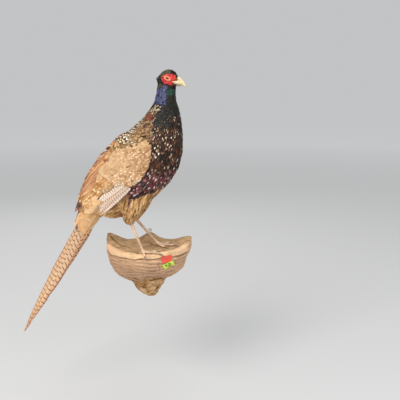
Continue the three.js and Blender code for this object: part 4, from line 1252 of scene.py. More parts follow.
def covert_rows(rng):
    """Side-view roots of a wing's coverts, in staggered rows across the wing."""
    found = []
    along = -24.0
    while along < WING_ROWS_END:
        middle = SHOULDER + along * WING_ALONG
        length = covert_length(middle[None])[0]
        spacing = length * COVERT_WIDTH * COVERT_SPREAD
        across = np.arange(-130, 90, spacing) + (len(found) % 2) * spacing / 2
        found.append(middle + across[:, None] * WING_ACROSS + rng.uniform(-1.6, 1.6, (len(across), 2)))
        along += length * COVERT_PITCH
    return np.concatenate(found)


for name, side in SIDES.items():
    wing_rng = np.random.default_rng(41 + side)
    flat = covert_rows(wing_rng)
    length = covert_length(flat)
    toward = unit(WING_AIM - flat)
    middle, tips = (flat + toward * length[:, None] * share for share in (0.5, 1))
    inside = (inside_depth(*flat.T, WING_OUTLINE) > -0.5) & (inside_depth(*middle.T, WING_OUTLINE) > 1.5)
    low = (flat[:, 0] < PRIMARY_END + 6) & (below_coverts(flat) > -14)
    inside &= (below_coverts(tips) < 0) & (off_line(flat, *TERTIAL_EDGE) > 0) | low
    flat, length, toward = kept(inside, flat, length, toward)
    places = wing_side(flat, side)
    flat, length, toward, places = kept(wing_depth(places) > -1.0, flat, length, toward, places)
    lies = upright(*toward.T)
    looks = wing_plumage(places + lies * length[:, None] * 0.6, wing_rng)
    size = wing_rng.uniform(0.85, 1.15, (2, len(length)))
    lift = wing_lift(places)
    points = lay_blades(
        body, SMALL, places, lies, length * size[0], length * COVERT_WIDTH * size[1], lift - 1.2, lift - 0.4,
        wing_rng, ragged=0.08, fray=0.06, camber=0.012,
    )
    on_wing = (flat - [-220, 100]) / 250
    coat_piece(f"wing_coverts_{name}", SMALL, points, on_wing, looks, wing_finish)

# %% [markdown]
# ## Quills
# Tertials, secondaries and primaries are single long feathers, so each gets a root, a tip and a width of
# its own. They are the same blades with many more rows, and overlap like the leaves of a fan.

# %% Long wing feathers
QUILL = Blades(26, 7)
quill_finish = feather_material("wing_quill", 0.65, shaft_light=0.35, mottle=0.25)
primary_finish = feather_material("primary_quill", 0.6, shaft_light=0.5, grain=0.4, mottle=0.1, Bar_Edge=0.45)
BAR_GAP = 7.0  # from one bar of a long wing feather to the next


def lay_quills(name, side, corners, lifts, look, rng, material=quill_finish,
               pointed=0.25, replaced=()):
    """A fan of long feathers. Corners: how many, the outer two's root and tip (x, z), and their width.
    Lifts: the height of root and tip, each as a value and what it gains over the fan."""
    count, first_root, last_root, first_tip, last_tip, width = corners
    share = np.linspace(0, 1, count)[:, None]
    flat_roots = (1 - share) * first_root + share * last_root
    flat_tips = (1 - share) * first_tip + share * last_tip
    places, ends = wing_side(flat_roots, side), wing_side(flat_tips, side)
    toward = flat_tips - flat_roots
    length = np.hypot(*toward.T)
    low, high = (value + gain * share[:, 0] - WING_LIFT for value, gain in lifts)
    looks = Plumage(places, rng).zone(1, **look).finished(0.06)
    looks["Bars"] = length[:, None] / BAR_GAP
    points = lay_blades(body, QUILL, places, upright(*toward.T), length, width, low + wing_lift(places),
                        high + wing_lift(ends), rng, pointed, ragged=0.03, fray=0.1, camber=0.06)
    return coat_piece(name, QUILL, points, (flat_roots - [-220, 80]) / 300, looks, material, replaced)


def look(ground, fringe, mark, **amounts):
    return {"ground": ground, "fringe": fringe, "mark": mark, **amounts}


TERTIALS = look("C98C56 BE8258 D9A068 B07544", "6E4428 8A5834", "E6C6A4 5A3624", fringed=0.6, streaks=0.8)
SECONDARIES = look(TAN, "6A4228 7A4E30", "E8CFA4", fringed=0.75, streaks=0.4)
PRIMARIES = look("EBD3BE E2C6AE F2E0D0 DDBCA2", "F8ECE0 D8B094", "946A54 7E5844", fringed=0.5, bars=1.0)
TIPS = look("4A3026 5E3E30 3A261E", "B87C70 8A5848", "D8A898", fringed=0.7, drops=0.9)
for name, side in SIDES.items():
    wing_rng = np.random.default_rng(51 + side)
    lay_quills(f"wing_tertials_{name}", side, (13, (-66, 292), (-100, 168), (-178, 200), (-204, 126), 17),
               [(7.8, -1.2), (9.2, -1.4)], TERTIALS, wing_rng)
    lay_quills(f"wing_secondaries_{name}", side, (7, (-80, 222), (-30, 212), (-190, 124), (-112, 167), 15),
               [(5.4, -0.4), (8.2, -0.6)], SECONDARIES, wing_rng)
    lay_quills(f"wing_primaries_{name}", side, (10, (-30, 181), (-38, 198), (-117, 108), (-112, 147), 10),
               [(6.5, 0.9), (5.6, 1.8)], PRIMARIES, wing_rng, primary_finish, 0.0,
               [f"flight_feathers_{name}"])
    lay_quills(f"wing_tips_{name}", side, (6, (-162, 182), (-152, 146), (-208, 130), (-196, 112), 15),
               [(5.5, 1), (9.6, 1)], TIPS, wing_rng)

# %% [markdown]
# ## The tail
# A cock's tail is eighteen stiff feathers laid like a steep roof: the long middle pair lies along the
# ridge, and each pair below is shorter and reaches a little further down the slope. The roof's rows are
# listed: the ridge, and how far the slope reaches down from it.

# %% The tail's roof
TAIL_ROWS = [
    (-180, 112, 36), (-199, 72, 41), (-216, 42, 42), (-244, -8, 41), (-265, -44, 38), (-283, -78, 35),
    (-320, -145, 27), (-348, -198, 20), (-365, -234, 11),
]
TAIL_SLOPE = math.radians(25)
TAIL_LENGTHS = [1.0, 0.92, 0.78, 0.64, 0.52, 0.45, 0.38, 0.32, 0.27]  # from the middle pair out
TAIL_WIDTH = 25.0
TAIL_REACHES = [16.0, 28.0, 39.0, 40.0, 41.0, 42.0, 43.0, 44.0, 45.0]  # how far down the slope
TAIL_BAR = 12.5  # from one dark bar to the next
LONG_PAIRS = 4  # the middle feathers, which lie over the short ones
TAIL_STEPS = 200


def tail_place(at, side, down, deep):
    """Points on one slope of the tail: at a row, down from the ridge, and deep below the slope's face."""
    row = curve_through(TAIL_ROWS, at)
    tipward = unit((curve_through(TAIL_ROWS, at + 0.08) - curve_through(TAIL_ROWS, at - 0.08))[..., :2])
    belly = upright(-tipward[..., 1], tipward[..., 0])
    sideways = np.array([0, side, 0])
    way = belly * math.cos(TAIL_SLOPE) + sideways * math.sin(TAIL_SLOPE)
    inward = belly * math.sin(TAIL_SLOPE) - sideways * math.cos(TAIL_SLOPE)
    return upright(row[..., 0], row[..., 1]) + way * down[..., None] + inward * deep[..., None]


fine_rows = smooth_path(TAIL_ROWS, TAIL_STEPS)
tail_run = np.concatenate([[0], np.cumsum(np.linalg.norm(np.diff(fine_rows[:, :2], axis=0), axis=1))])
tail_length = tail_run[-1]
TAIL_BLADE = Blades(44, 7)
tail_finish = feather_material("tail_feather", 0.6, shaft_light=0.4, mottle=0.15, Bar_Edge=0.62)


def tail_feather(pair, side, rng):
    u = np.broadcast_to(TAIL_BLADE.u[:, None], TAIL_BLADE.shape)
    v = np.broadcast_to(TAIL_BLADE.v[None, :], u.shape)
    run = u * tail_length * TAIL_LENGTHS[pair]
    at = np.interp(run, tail_run, np.linspace(0, len(TAIL_ROWS) - 1, TAIL_STEPS))
    slope = curve_through(TAIL_ROWS, at)[..., 2]
    lowest = np.minimum(slope, TAIL_REACHES[pair]) + max(0, pair - LONG_PAIRS + 1) * 0.9
    half = np.minimum(TAIL_WIDTH, lowest) / 2
    frayed = 1 - 0.05 * rng.random(u.shape) * (np.abs(v) > 0.9)
    down = lowest - half - side * v * half * outline(u, 0.28) * frayed
    deep = 0.2 + 0.55 * pair + 0.9 * v**2 - 0.5 * (1 - v**2) * (pair == 0)
    top = tail_place(at, side, np.maximum(down, 0.0), deep)
    under = tail_place(at, side, np.maximum(down, 0.3), deep + 0.5)[1:-1, 1:-1]
    return np.concatenate([top.reshape(-1, 3), under.reshape(-1, 3)])


def tail_piece(name, pairs, replaced, seed):
    """Several tail feathers as one piece: a list of (pair, side)."""
    tail_rng = np.random.default_rng(seed)
    points = np.array([tail_feather(pair, side, tail_rng) for pair, side in pairs])
    looks = Plumage(np.zeros((len(pairs), 3)), tail_rng).zone(
        1, "D8AE86 CFA27A DDB690", "D8A48A C88A6A B97A5C", "4A2E1C 5A3A26", fringed=0.5, bars=1.0)
    looks = looks.finished(0.06)
    bars = np.array([[tail_length * TAIL_LENGTHS[pair] / TAIL_BAR] for pair, _ in pairs])
    looks["Bars"] = bars * tail_rng.uniform(0.85, 1.1, bars.shape)
    flat = np.array([(0.5 - side * (0.05 + 0.045 * pair), 0.5) for pair, side in pairs])
    return coat_piece(name, TAIL_BLADE, points, flat, looks, tail_finish, replaced)


tail_piece("tail_long_feathers", [(pair, side) for pair in range(LONG_PAIRS) for side in SIDES.values()],
           ["tail_middle"], 61)
for name, side in SIDES.items():
    tail_piece(f"tail_short_feathers_{name}", [(pair, side) for pair in range(LONG_PAIRS, len(TAIL_LENGTHS))],
               [f"tail_side_{name}"], 63 + side)
print("tail length", round(tail_length), "mm")

# %% [markdown]
# ## Horn: bill, claws and spurs
# Horn is smooth and slightly translucent, paler where it is thin and marked with fine growth lines. Its
# solids are fused at a fine voxel, which rounds their edges as wear does.

# %% Horn pieces
def fine_piece(name, node_names, voxel, rounds, slot, material, shape=None):
    """A smooth version of small solids; shape may move its points (bird millimetres, normals)."""
    points, normals, faces = fused(node_names, voxel * MM, rounds)
    points = shape(points, normals) if shape else points
    return make_piece(name, bird_to_part(points), faces, slot, material, node_names)


def horn_material(name, pale, dark, line_scale, roughness, along):
    """Horn with growth lines and darker flecks; along stretches the lines."""
    w = new_material(name)
    stretched = w.value("Vector", "ShaderNodeMapping", Vector=w.place(), Scale=along)
    lines = w.noise(stretched, line_scale, 3.0)
    flecks = w.step(w.noise(w.place(), 260.0, 2.0, 0.5), 0.5, 0.8) * 0.35
    tone = w.mix(w.step(lines, 0.35, 0.72), paint(pale), paint(dark))
    return w.finish(w.mix(flecks, tone, paint(dark)), roughness, lines, 0.3, 0.0003, Subsurface_Weight=0.12,
                    Subsurface_Radius=(0.003, 0.0018, 0.001), Subsurface_Scale=0.4)


NOSTRIL = np.array([76.5, 6.4, 434.5])


def upper_bill_shape(points, normals):
    """Presses the nostril in and raises its flap above it."""
    out = points.copy()
    for side in SIDES.values():
        x, _, z = (points - NOSTRIL * [1, side, 1]).T
        flap = bell(np.hypot(x / 3.4, (z - 1.6) / 1.5), 1)
        slit = bell(np.hypot(x / 3.2, z + 0.8), 1)
        out += normals * ((0.9 * flap - 1.1 * slit) * (side * points[:, 1] > 2))[:, None]
    return out


bill_finish = horn_material("bill_horn", "E6D8AE", "C7AE7E", 90.0, 0.38, (1.0, 0.4, 2.2))
# The lower bill has the same horn and growth lines, painted darker than the upper bill as painted shade under
# it.
lower_bill_painted_shade_finish = horn_material("lower_bill_horn_painted_shade", "C2A26E", "86663E", 90.0, 0.4, (1.0, 0.4, 2.2))
claw_finish = horn_material("claw_horn", "9A8068", "5E4A3C", 200.0, 0.4, (2.0, 2.0, 0.5))
fine_piece("bill_upper_horn", ["bill_upper"], 0.5, 3, "bill", bill_finish, upper_bill_shape)
fine_piece("bill_lower_horn", ["bill_lower"], 0.5, 3, "bill", lower_bill_painted_shade_finish)

# %% Corners of the mouth, claws and spurs
# The corner of the mouth: x, distance from the middle plane, z, half height and half thickness.
GAPE = [(80, 3.2, 427.6, 3.6, 1.2), (76, 7.0, 427.4, 4.2, 2.0), (72, 10.4, 427.2, 3.6, 1.9),
        (68, 12.8, 427.5, 2.6, 1.6), (64.5, 14.2, 428.2, 1.5, 1.1), (62.5, 14.6, 428.6, 0.4, 0.3)]
GAPE_STEPS = 26
GAPE_ROUND = 18


def gape(side):
    """The horny corner of the mouth that runs back from the bill along the cheek."""
    path = smooth_path(GAPE, GAPE_STEPS)[:, None]
    turn = full_turn(GAPE_ROUND)[None, :, None]
    middle = path[..., :3] * [1, side, 1]
    out = unit(np.array([0.45, side * 0.9, 0.0]))
    ring = np.sin(turn) * path[..., 3:4] * [0, 0, 1.0] + np.cos(turn) * path[..., 4:] * out
    index = np.arange(GAPE_STEPS * GAPE_ROUND).reshape(GAPE_STEPS, GAPE_ROUND)
    faces = capped_faces(index, index.size, index.size + 1)
    points = np.concatenate([(middle + ring).reshape(-1, 3), middle[0], middle[-1]])
    return bird_to_part(points), faces[:, ::-1] if side == RIGHT else faces


for name, side in SIDES.items():
    make_piece(f"gape_{name}", *gape(side), "bill", bill_finish)
TOES = ("inner", "middle", "outer", "hind")
for name in SIDES:
    fine_piece(f"claws_{name}", [f"claw_{toe}_{name}" for toe in TOES], 0.4, 3, "claw", claw_finish)
    fine_piece(f"spur_horn_{name}", [f"spur_{name}"], 0.4, 3, "claw", claw_finish)

# %% [markdown]
# ## The shelf's top
# The feet stand on the console, so the console's surface is worked out before them: a dished half-round shelf
# with raised corners, a hump at the back that holds the hanger, and a low place in its front rim.

# %% The console's form
SHELF = {"middle": -12, "left": 111.5, "right": 114, "deep": 141, "square": 2.15, "level": 66}
HUMP = {"x": -9, "width": 24, "depth": 42, "height": 19}
CORNERS = {"from": 0.5, "left": 18, "right": 9, "left_depth": 34, "right_depth": 46}
LIP = {"x": -25, "width": 36, "drop": 6}
DISH = 4
EDGE = 4.5
# Reach to the left, right and front, and height, from the rim down to the tip.
UNDERSIDE = [
    (112, 114, 141, 50), (110, 109, 139, 36), (107.5, 102, 131, 22), (104, 98, 118, 8), (98.5, 92, 101, -6),
    (92, 79, 85, -18), (82, 61, 71, -28), (70, 51, 63, -34), (52, 44, 59, -40), (42, 36, 50, -56),
    (34.5, 29, 40, -68), (24, 22, 28, -80), (12, 14, 14, -90), (3, 3, 3, -95.5),
]


def shelf_top(x, y):
    across = x - SHELF["middle"]
    left = across < 0
    share = np.abs(across) / np.where(left, SHELF["left"], SHELF["right"])
    hump = HUMP["height"] * bell(x - HUMP["x"], HUMP["width"]) * bell(y, HUMP["depth"])
    raised = np.where(left, CORNERS["left"], CORNERS["right"])
    reach = np.where(left, CORNERS["left_depth"], CORNERS["right_depth"])
    corner = raised * ramp(share, CORNERS["from"], 1) * bell(y, reach)
    front = np.clip(-y / SHELF["deep"], 0, 1)
    lip = LIP["drop"] * bell(x - LIP["x"], LIP["width"]) * front**3
    dish = DISH * np.maximum(0, 1 - share**2) * np.sin(np.pi * front)
    return SHELF["level"] + hump + corner - dish - lip


def shelf_plan(angle, left, right, deep):
    """The console's outline at an angle from the right end round the front."""
    exponent = 2 / SHELF["square"]
    cos = np.sign(np.cos(angle)) * np.abs(np.cos(angle)) ** exponent
    sin = np.abs(np.sin(angle)) ** exponent
    lobes = 1 + 0.02 * np.sin(3 * angle + 0.6) * np.sin(angle)
    return SHELF["middle"] + np.where(cos < 0, left, right) * cos * lobes, -deep * sin * lobes


def surface_under(x, y):
    """The console's height under a place, both in the bird's frame."""
    there = np.array([x, y, 0.0]) @ YAW.T + BIRD_AT
    side = SHELF["left"] if there[0] < SHELF["middle"] else SHELF["right"]
    across = abs(there[0] - SHELF["middle"]) / side
    square = SHELF["square"]
    reach = (across**square + abs(there[1] / SHELF["deep"]) ** square) ** (1 / square)
    return float(shelf_top(there[0], there[1])) - 900 * max(0.0, reach - 0.95) ** 2 - BIRD_AT[2]


print("shelf under the right foot:", round(surface_under(-9, -38), 1), "mm above the bird's zero")

# %% [markdown]
# ## Legs
# A pheasant's shank and toes are covered in hard scutes: broad plates down the front, small ones round the
# toes. The leg's solids are fused finely, and each point is moved a little in or out according to how far
# along its bone it lies, so that the plates overlap like tiles. A dried mount is pale and dull.

# %% Bones of the legs
BALL_LIFT = 7.5
# The heel, the ball of the foot (x, y) and each toe's direction in degrees and length.
LEGS = {
    "right": {"heel": (-39, 38, 90), "ball": (-9, 38), "toes": [(24, 33), (-2, 45), (-62, 18), (172, 12)]},
    "left": {"heel": (-46, 34, 82), "ball": (8, 36), "toes": [(-34, 32), (-2, 44), (34, 33), (182, 12)]},
}
SHANK_PLATE = 4.6
TOE_PLATE = 2.9


def leg_bones(name):
    """The bones of one leg as straight stretches: start, end, whether it is the shank, and the run so far."""
    heel, ball, toes = LEGS[name].values()
    x, y = ball[0], SIDES[name] * ball[1]
    ball = np.array([x, y, surface_under(x, y) + BALL_LIFT])
    bones = [(np.array(heel, float) * [1, SIDES[name], 1], ball, True, 0.0)]
    for turn, length in toes:
        last = ball
        run = 0.0
        for share in (0.3, 0.55, 0.8, 1.0):
            tx = x + length * share * math.cos(math.radians(turn))
            ty = y + length * share * math.sin(math.radians(turn))
            place = np.array([tx, ty, surface_under(tx, ty) + 3.2])
            bones.append((last, place, False, run))
            run += float(np.linalg.norm(place - last))
            last = place
    return bones


def scuted(name):
    """A shape function that presses the seams between one leg's scutes."""
    bones = leg_bones(name)

    def shape(points, normals):
        best = np.full(len(points), 1e9)
        run, on_shank, facing = np.zeros((3, len(points)))
        for start, end, shank, before in bones:
            way = end - start
            t = np.clip((points - start) @ way / (way @ way), 0, 1)
            offset = points - start - t[:, None] * way
            distance = np.linalg.norm(offset, axis=1)
            nearer = distance < best
            front = offset[:, 0] + 0.2 * offset[:, 2] if shank else offset[:, 2]
            best[nearer] = distance[nearer]
            run[nearer] = (before + t * np.linalg.norm(way))[nearer]
            on_shank[nearer] = shank
            facing[nearer] = (front / np.maximum(distance, 0.1))[nearer]
        on_shank = on_shank > 0
        lateral = np.sign(points[:, 1] - np.where(on_shank, bones[0][0][1], 0))
        plate = np.where(on_shank, SHANK_PLATE, TOE_PLATE)
        phase = (run / plate + np.where(on_shank & (lateral > 0), 0.5, 0)) % 1
        tile = 0.55 * phase**1.5 - 0.75 * bell(phase - 1.0, 0.13) - 0.3 * bell(phase, 0.1)
        strength = (0.32 + 0.68 * ramp(facing, -0.2, 0.5)) * np.where(on_shank, 0.75, 0.85)
        return points + normals * (tile * strength)[:, None]

    return shape

# %% Legs
w = new_material("leg_scales")
fine = w.noise(w.place(), 900.0, 2.0)
tone = w.mix(w.step(w.parts(w.place())[2], 0.07, 0.1), paint("B8987C"), paint("CCA884"))
tone = w.mix(w.step(w.noise(w.place(), 60.0, 3.0), 0.42, 0.66), tone, paint("E2BE9A"))
tone = w.mix(w.step(fine, 0.45, 0.75) * 0.35, tone, paint("6E5A4A"))
leg_finish = w.finish(tone, 0.5, fine, 0.25, 0.0002)
for name in SIDES:
    solids = [f"shank_{name}", f"foot_{name}"]
    fine_piece(f"leg_{name}", solids, 0.7, 3, "leg_scales", leg_finish, scuted(name))

# %% [markdown]
# ## The bare face
# A cock's face is bare red skin, swollen and covered in tiny papillae. Slow ripples swell the wattle into
# lobes. The papillae repeat over a surface, which is what Geometry Nodes do best: points spread over the
# wattle, a small bead on each, realized and joined.

# %% Ripples
WAVES = 9  # how many waves make a ripple field


def ripples(places, size, seed):
    """A slow random field between about -1 and 1 that changes over the given size."""
    wave_rng = np.random.default_rng(seed)
    ways = unit(wave_rng.normal(size=(WAVES, 3)))
    ways = ways * (2 * np.pi / (size * wave_rng.uniform(0.7, 1.6, (WAVES, 1))))
    phase = wave_rng.uniform(0, 2 * np.pi, WAVES)
    return np.sin(np.asarray(places) @ ways.T + phase).sum(1) / math.sqrt(WAVES)


def swollen(points, normals):
    """Lobes of the wattle, the lowest of them hanging."""
    swelling = 0.35 * ripples(points, 7.0, 3) - 0.55 * bell(ripples(points, 11.0, 8), 0.22)
    hanging = 4.5 * ramp(-points[:, 2], -425, -415)
    return points + normals * swelling[:, None] - hanging[:, None] * [0.2, 0, 1]


print("ripples at the origin:", ripples(np.zeros((1, 3)), 7.0, 3).round(3))

# %% Papillae with Geometry Nodes
def bead_tree(name, material):
    """A node tree that sets small beads all over a surface and keeps the surface."""
    tree = new_group(
        name, [("Geometry", "Geometry"), ("Bead Radius", "Float"), ("Closest", "Float"), ("Seed", "Int")],
        [("Geometry", "Geometry")], "GeometryNodeTree")
    w = Wiring(tree)
    given, out = w.ends()
    spread = w.value(
        "Points", "GeometryNodeDistributePointsOnFaces", {"distribute_method": "POISSON"},
        Mesh=given["Geometry"], Distance_Min=given["Closest"], Density_Max=4.0e6, Seed=given["Seed"],
    )
    bead = w.value("Mesh", "GeometryNodeMeshIcoSphere", Radius=given["Bead Radius"], Subdivisions=2)
    size = w.node("FunctionNodeRandomValue", {"data_type": "FLOAT"}, Seed=given["Seed"])
    size.inputs[2].default_value = 0.6
    size.inputs[3].default_value = 1.15
    placed = w.value("Instances", "GeometryNodeInstanceOnPoints", Points=spread, Instance=bead,
                     Scale=size.outputs[1])
    both = w.node("GeometryNodeJoinGeometry")
    w.put(both.inputs["Geometry"], w.value("Geometry", "GeometryNodeRealizeInstances", Geometry=placed))
    w.put(both.inputs["Geometry"], given["Geometry"])
    finish = w.node("GeometryNodeSetMaterial", Geometry=both.outputs["Geometry"], Material=material)
    w.put(out["Geometry"], finish.outputs["Geometry"])
    return tree


def with_nodes(piece, tree, **values):
    """Runs a node tree on a piece and keeps the plain mesh that comes out."""
    modifier = piece.modifiers.new(tree.name, "NODES")
    modifier.node_group = tree
    names = {item.name: item.identifier for item in tree.interface.items_tree if item.in_out == "INPUT"}
    for key, value in values.items():
        modifier[names[key.replace("_", " ")]] = value
    old = piece.data
    piece.data = evaluated(piece)
    bpy.data.meshes.remove(old)
    for face in piece.data.polygons:
        face.use_smooth = True
    return piece

# %% Bare face
w = new_material("bare_face")
tone = w.mix(w.step(w.noise(w.place(), 110.0, 3.0), 0.38, 0.64), paint("A81F1E"), paint("E2433A"))
tone = w.mix(w.step(w.noise(w.place(), 1500.0, 2.0), 0.55, 0.75) * 0.35, tone, paint("F0857A"))
face_finish = w.finish(tone, 0.55, Subsurface_Weight=0.15, Subsurface_Radius=(0.004, 0.001, 0.0008),
                       Subsurface_Scale=0.3)
papillae = bead_tree("papillae", face_finish)
for name, side in SIDES.items():
    points, normals, faces = fused([f"wattle_{name}"], 0.45 * MM, 3)
    base = new_mesh(f"bare_face_{name}", bird_to_part(swollen(points, normals)), faces)
    piece = new_object(base.name, base)
    with_nodes(piece, papillae, Bead_Radius=0.42 * MM, Closest=0.85 * MM, Seed=7)
    hand_over(piece, face_finish, [f"wattle_{name}"])

# %% [markdown]
# ## Eyes
# A taxidermist sets a painted glass eye: a dark pupil, an orange-brown iris with fine spokes and a dark
# rim, all under clear glass. The ball's points know how far they are from its optical axis. A ring of
# wrinkled lid closes the gap between the ball and the face.

# %% Eyes and lids
EYE_AT = np.array([52, 12.6, 436.3])
EYE_RADIUS = 5.4
EYE_AROUND = 48  # points round the ball
EYE_RINGS = 32
IRIS_LOOK = np.array([0.12, 1.0, 0.04])  # the optical axis of the left eye
LID = {"inner": 3.2, "outer": 6.8, "rise": 0.75, "points": 64, "round": 14}
LID_AXES = [(0.93, -0.37, 1.2), (0.37, 0.93, 0.72)]  # the lids' slanting oval: forward, up, stretch


def eyeball(centre, axis):
    """A ball whose first pole looks along an axis, and how far each point is from that pole, 0 to 1."""
    axis = unit(axis)
    across = unit(np.cross(axis, [0, 0, 1.0]))
    turn = full_turn(EYE_AROUND)[:, None]
    tilt = np.linspace(0, np.pi, EYE_RINGS + 1)[1:-1]
    ring = np.cos(turn) * across + np.sin(turn) * np.cross(across, axis)
    middle = np.cos(tilt)[:, None, None] * axis + np.sin(tilt)[:, None, None] * ring
    points = np.concatenate([axis[None], middle.reshape(-1, 3), -axis[None]])
    share = np.concatenate([[0], np.repeat(tilt / np.pi, EYE_AROUND), [1]])
    index = 1 + np.arange(len(tilt) * EYE_AROUND).reshape(-1, EYE_AROUND)
    return centre + EYE_RADIUS * points, capped_faces(index, 0, len(points) - 1), share


w = new_material("glass_eye")
ring_share = w.attribute("Ring", "Fac")
iris = w.mix(w.noise(w.attribute("Spokes", "Vector"), 3.0, 3.0, 0.7), paint("8A4A16"), paint("E09A48"))
iris = w.mix(w.step(ring_share, 0.27, 0.33), iris, paint("3A1C0C"))
iris = w.mix(w.step(ring_share, 0.135, 0.15), paint("050404"), iris)
eye_finish = w.finish(iris, 0.25, Coat_Weight=1.0, Coat_Roughness=0.02, IOR=1.5)

w = new_material("lid_skin")
creases = w.noise(w.place(), 1300.0, 2.0)
lid_finish = w.finish(w.mix(creases, paint("B8704C"), paint("E8A87C")), 0.6, creases, 0.5, 0.0002)

for name, side in SIDES.items():
    centre = EYE_AT * [1, side, 1]
    points, faces, share = eyeball(centre, IRIS_LOOK * [1, side, 1])
    mesh = new_mesh(f"eyeball_{name}", bird_to_part(points), faces)
    set_colours(mesh, "Ring", share[:, None])
    set_colours(mesh, "Spokes", np.round(unit(points - centre) * 12) / 12)
    hand_over(new_object(f"eyeball_{name}", mesh), eye_finish, [f"eye_{name}"])

    turn = full_turn(LID["points"])
    way = sum((np.cos(turn + shift) * stretch)[:, None] * [forward, 0, up]
              for shift, (forward, up, stretch) in zip((0, -np.pi / 2), LID_AXES))
    middle = centre + way * (LID["inner"] + LID["outer"]) / 2 + [0, side * 4.2, 0]
    seats, seat_normals = face_surface.nearest(middle)
    tube = []
    for k, angle in enumerate(full_turn(LID["round"])):
        wide = (LID["outer"] - LID["inner"]) / 2 * math.cos(angle)
        high = LID["rise"] * (math.sin(angle) + 0.25) * (1 + 0.18 * np.sin(turn * 17 + k))
        tube.append(seats + way * wide + seat_normals * high[:, None])
    points = np.stack(tube, axis=1).reshape(-1, 3)
    faces = grid_faces(np.arange(len(points)).reshape(-1, LID["round"]), turned=True, close=(1, 1))
    faces = faces[:, ::-1] if side == RIGHT else faces
    make_piece(f"eyelid_{name}", bird_to_part(points), faces, "bare_skin", lid_finish)

# %% [markdown]
# ## The console
# The console is a bracket fungus, sawn flat at the back. A fungus grows a layer each season, so its side
# shows wavy zones, its rim is pale and rounded, and it cracks as it dries. Its form is a formula, so it is
# made as a fine grid of rows and sectors, and the zones, cracks and bark are pressed in.

# %% Console mesh
SECTORS = 260
TOP_RINGS = 46
SIDE_RINGS = 150
ZONES = 10.5  # from one growth zone to the next
# Cracks in the top, as x, y points from end to end, with their width.
CRACKS = [
    ([(-113, -18), (-94, -37), (-73, -62), (-52, -74)], 2.0),
    ([(-112, -48), (-98, -62), (-84, -74), (-66, -80)], 1.2),
    ([(96, -30), (70, -44), (44, -52), (18, -50)], 1.6),
    ([(74, -80), (52, -96), (28, -104), (4, -112)], 1.4),
    ([(20, -36), (-6, -62), (-30, -70)], 1.0),
]
SEAMS = [(-59, 34, 55), (22, 8, 46), (-18, -6, 20), (64, 20, 44)]  # upright cracks: x, lowest, highest
PALE_LIP = 0.88  # where the pale lip starts, as a share of the way from the middle to the rim


def crack_depth(x, y):
    """How deep the cracks of the top are, in millimetres."""
    deep = np.zeros(np.shape(x))
    for line, width in CRACKS:
        run = smooth_path(line, 30)
        distance = np.hypot(x[..., None] - run[:, 0], y[..., None] - run[:, 1]).min(-1)
        deep = np.maximum(deep, 3.2 * bell(distance, width))
    return deep


print("deepest crack:", crack_depth(np.array([20.0]), np.array([-36.0])).round(1), "mm")

# %% Rows of the console's grid
angles = np.linspace(0, np.pi, SECTORS + 1)
top_shares = np.linspace(0.02, 1, TOP_RINGS) ** 0.8
first = np.array([SHELF["left"], SHELF["right"], SHELF["deep"]])
rows = []
for share in top_shares:
    x, y = shelf_plan(angles, *(first * share))
    fibres = ripples(np.stack([x, y * 0.6, 0 * x], axis=1), 14, 71) * 0.35
    z = shelf_top(x, y) - EDGE * ramp(share, 0.9, 1.02) ** 2 * 0.55 - crack_depth(x, y) + fibres
    rows.append(np.stack([x, y, z], axis=1))
table = smooth_path(UNDERSIDE, SIDE_RINGS)
for share in np.linspace(0, 1, 9)[1:-1]:
    x, y = shelf_plan(angles, *(first * (1 - share) + table[0, :3] * share))
    rows.append(np.stack([x, y, z * (1 - share) + table[0, 3] * share], axis=1))
for *reaches, level in table:
    rows.append(np.stack([*shelf_plan(angles, *reaches), np.full(len(angles), level)], axis=1))
# Each point's share of the top, and its place in the console's millimetres.
shares = np.repeat(np.concatenate([top_shares, np.ones(len(rows) - TOP_RINGS)]), len(angles))
flat = np.concatenate(rows)
print("rows of the console:", len(rows))

# %% Growth zones, cracks and a painted shadow under the lip, pressed in
on_top = shares < 1
z = flat[:, 2]
front = flat[:, 1] < -0.01


def field(z_share, size, seed):
    return ripples(flat * [1, 1, z_share], size, seed)


# Lip, growth zones, cracks and bark, each pressed in where it belongs. A shadow line painted under the
# lip, and a dark line in the groove beside the lip on the top, are pressed in and darkened with the cracks.
wander = field(0.15, 90, 72) * 2.2 + field(0.3, 26, 73) * 1.3
lumps = field(0.4, 34, 78)
inner = PALE_LIP + 0.018 * field(0, 30, 79)
low_edge = 51.5 + 1.6 * lumps
at_front = ramp(-flat[:, 1] + 4 * lumps, 38, 62)
lip = np.where(on_top, ramp(shares, inner - 0.012, inner + 0.03), ramp(z, low_edge - 1, low_edge + 2))
lip = lip * at_front
side = front * ~on_top * (1 - lip)
turn = (z + wander) / ZONES
zone = np.abs((turn % 1) - 0.5) * 2
fine = np.abs(((turn * 2.7 + 0.3) % 1) - 0.5) * 2
shelf_part = ramp(z, -42, -34)
crack = ramp(zone, 0.2, 0.05) * ramp(field(0.3, 36, 77), -0.4, 0.5) * side * shelf_part
crack = np.maximum(crack, 0.6 * ramp(fine, 0.16, 0.04) * ramp(lumps, 0.1, 0.8) * side * shelf_part)
for x, low, high in SEAMS:
    seam = bell(flat[:, 0] - x - 2.5 * wander / 3, 1.1)
    crack = np.maximum(crack, 0.6 * seam * side * ramp(z, low, low + 9) * ramp(z, high, high - 9))
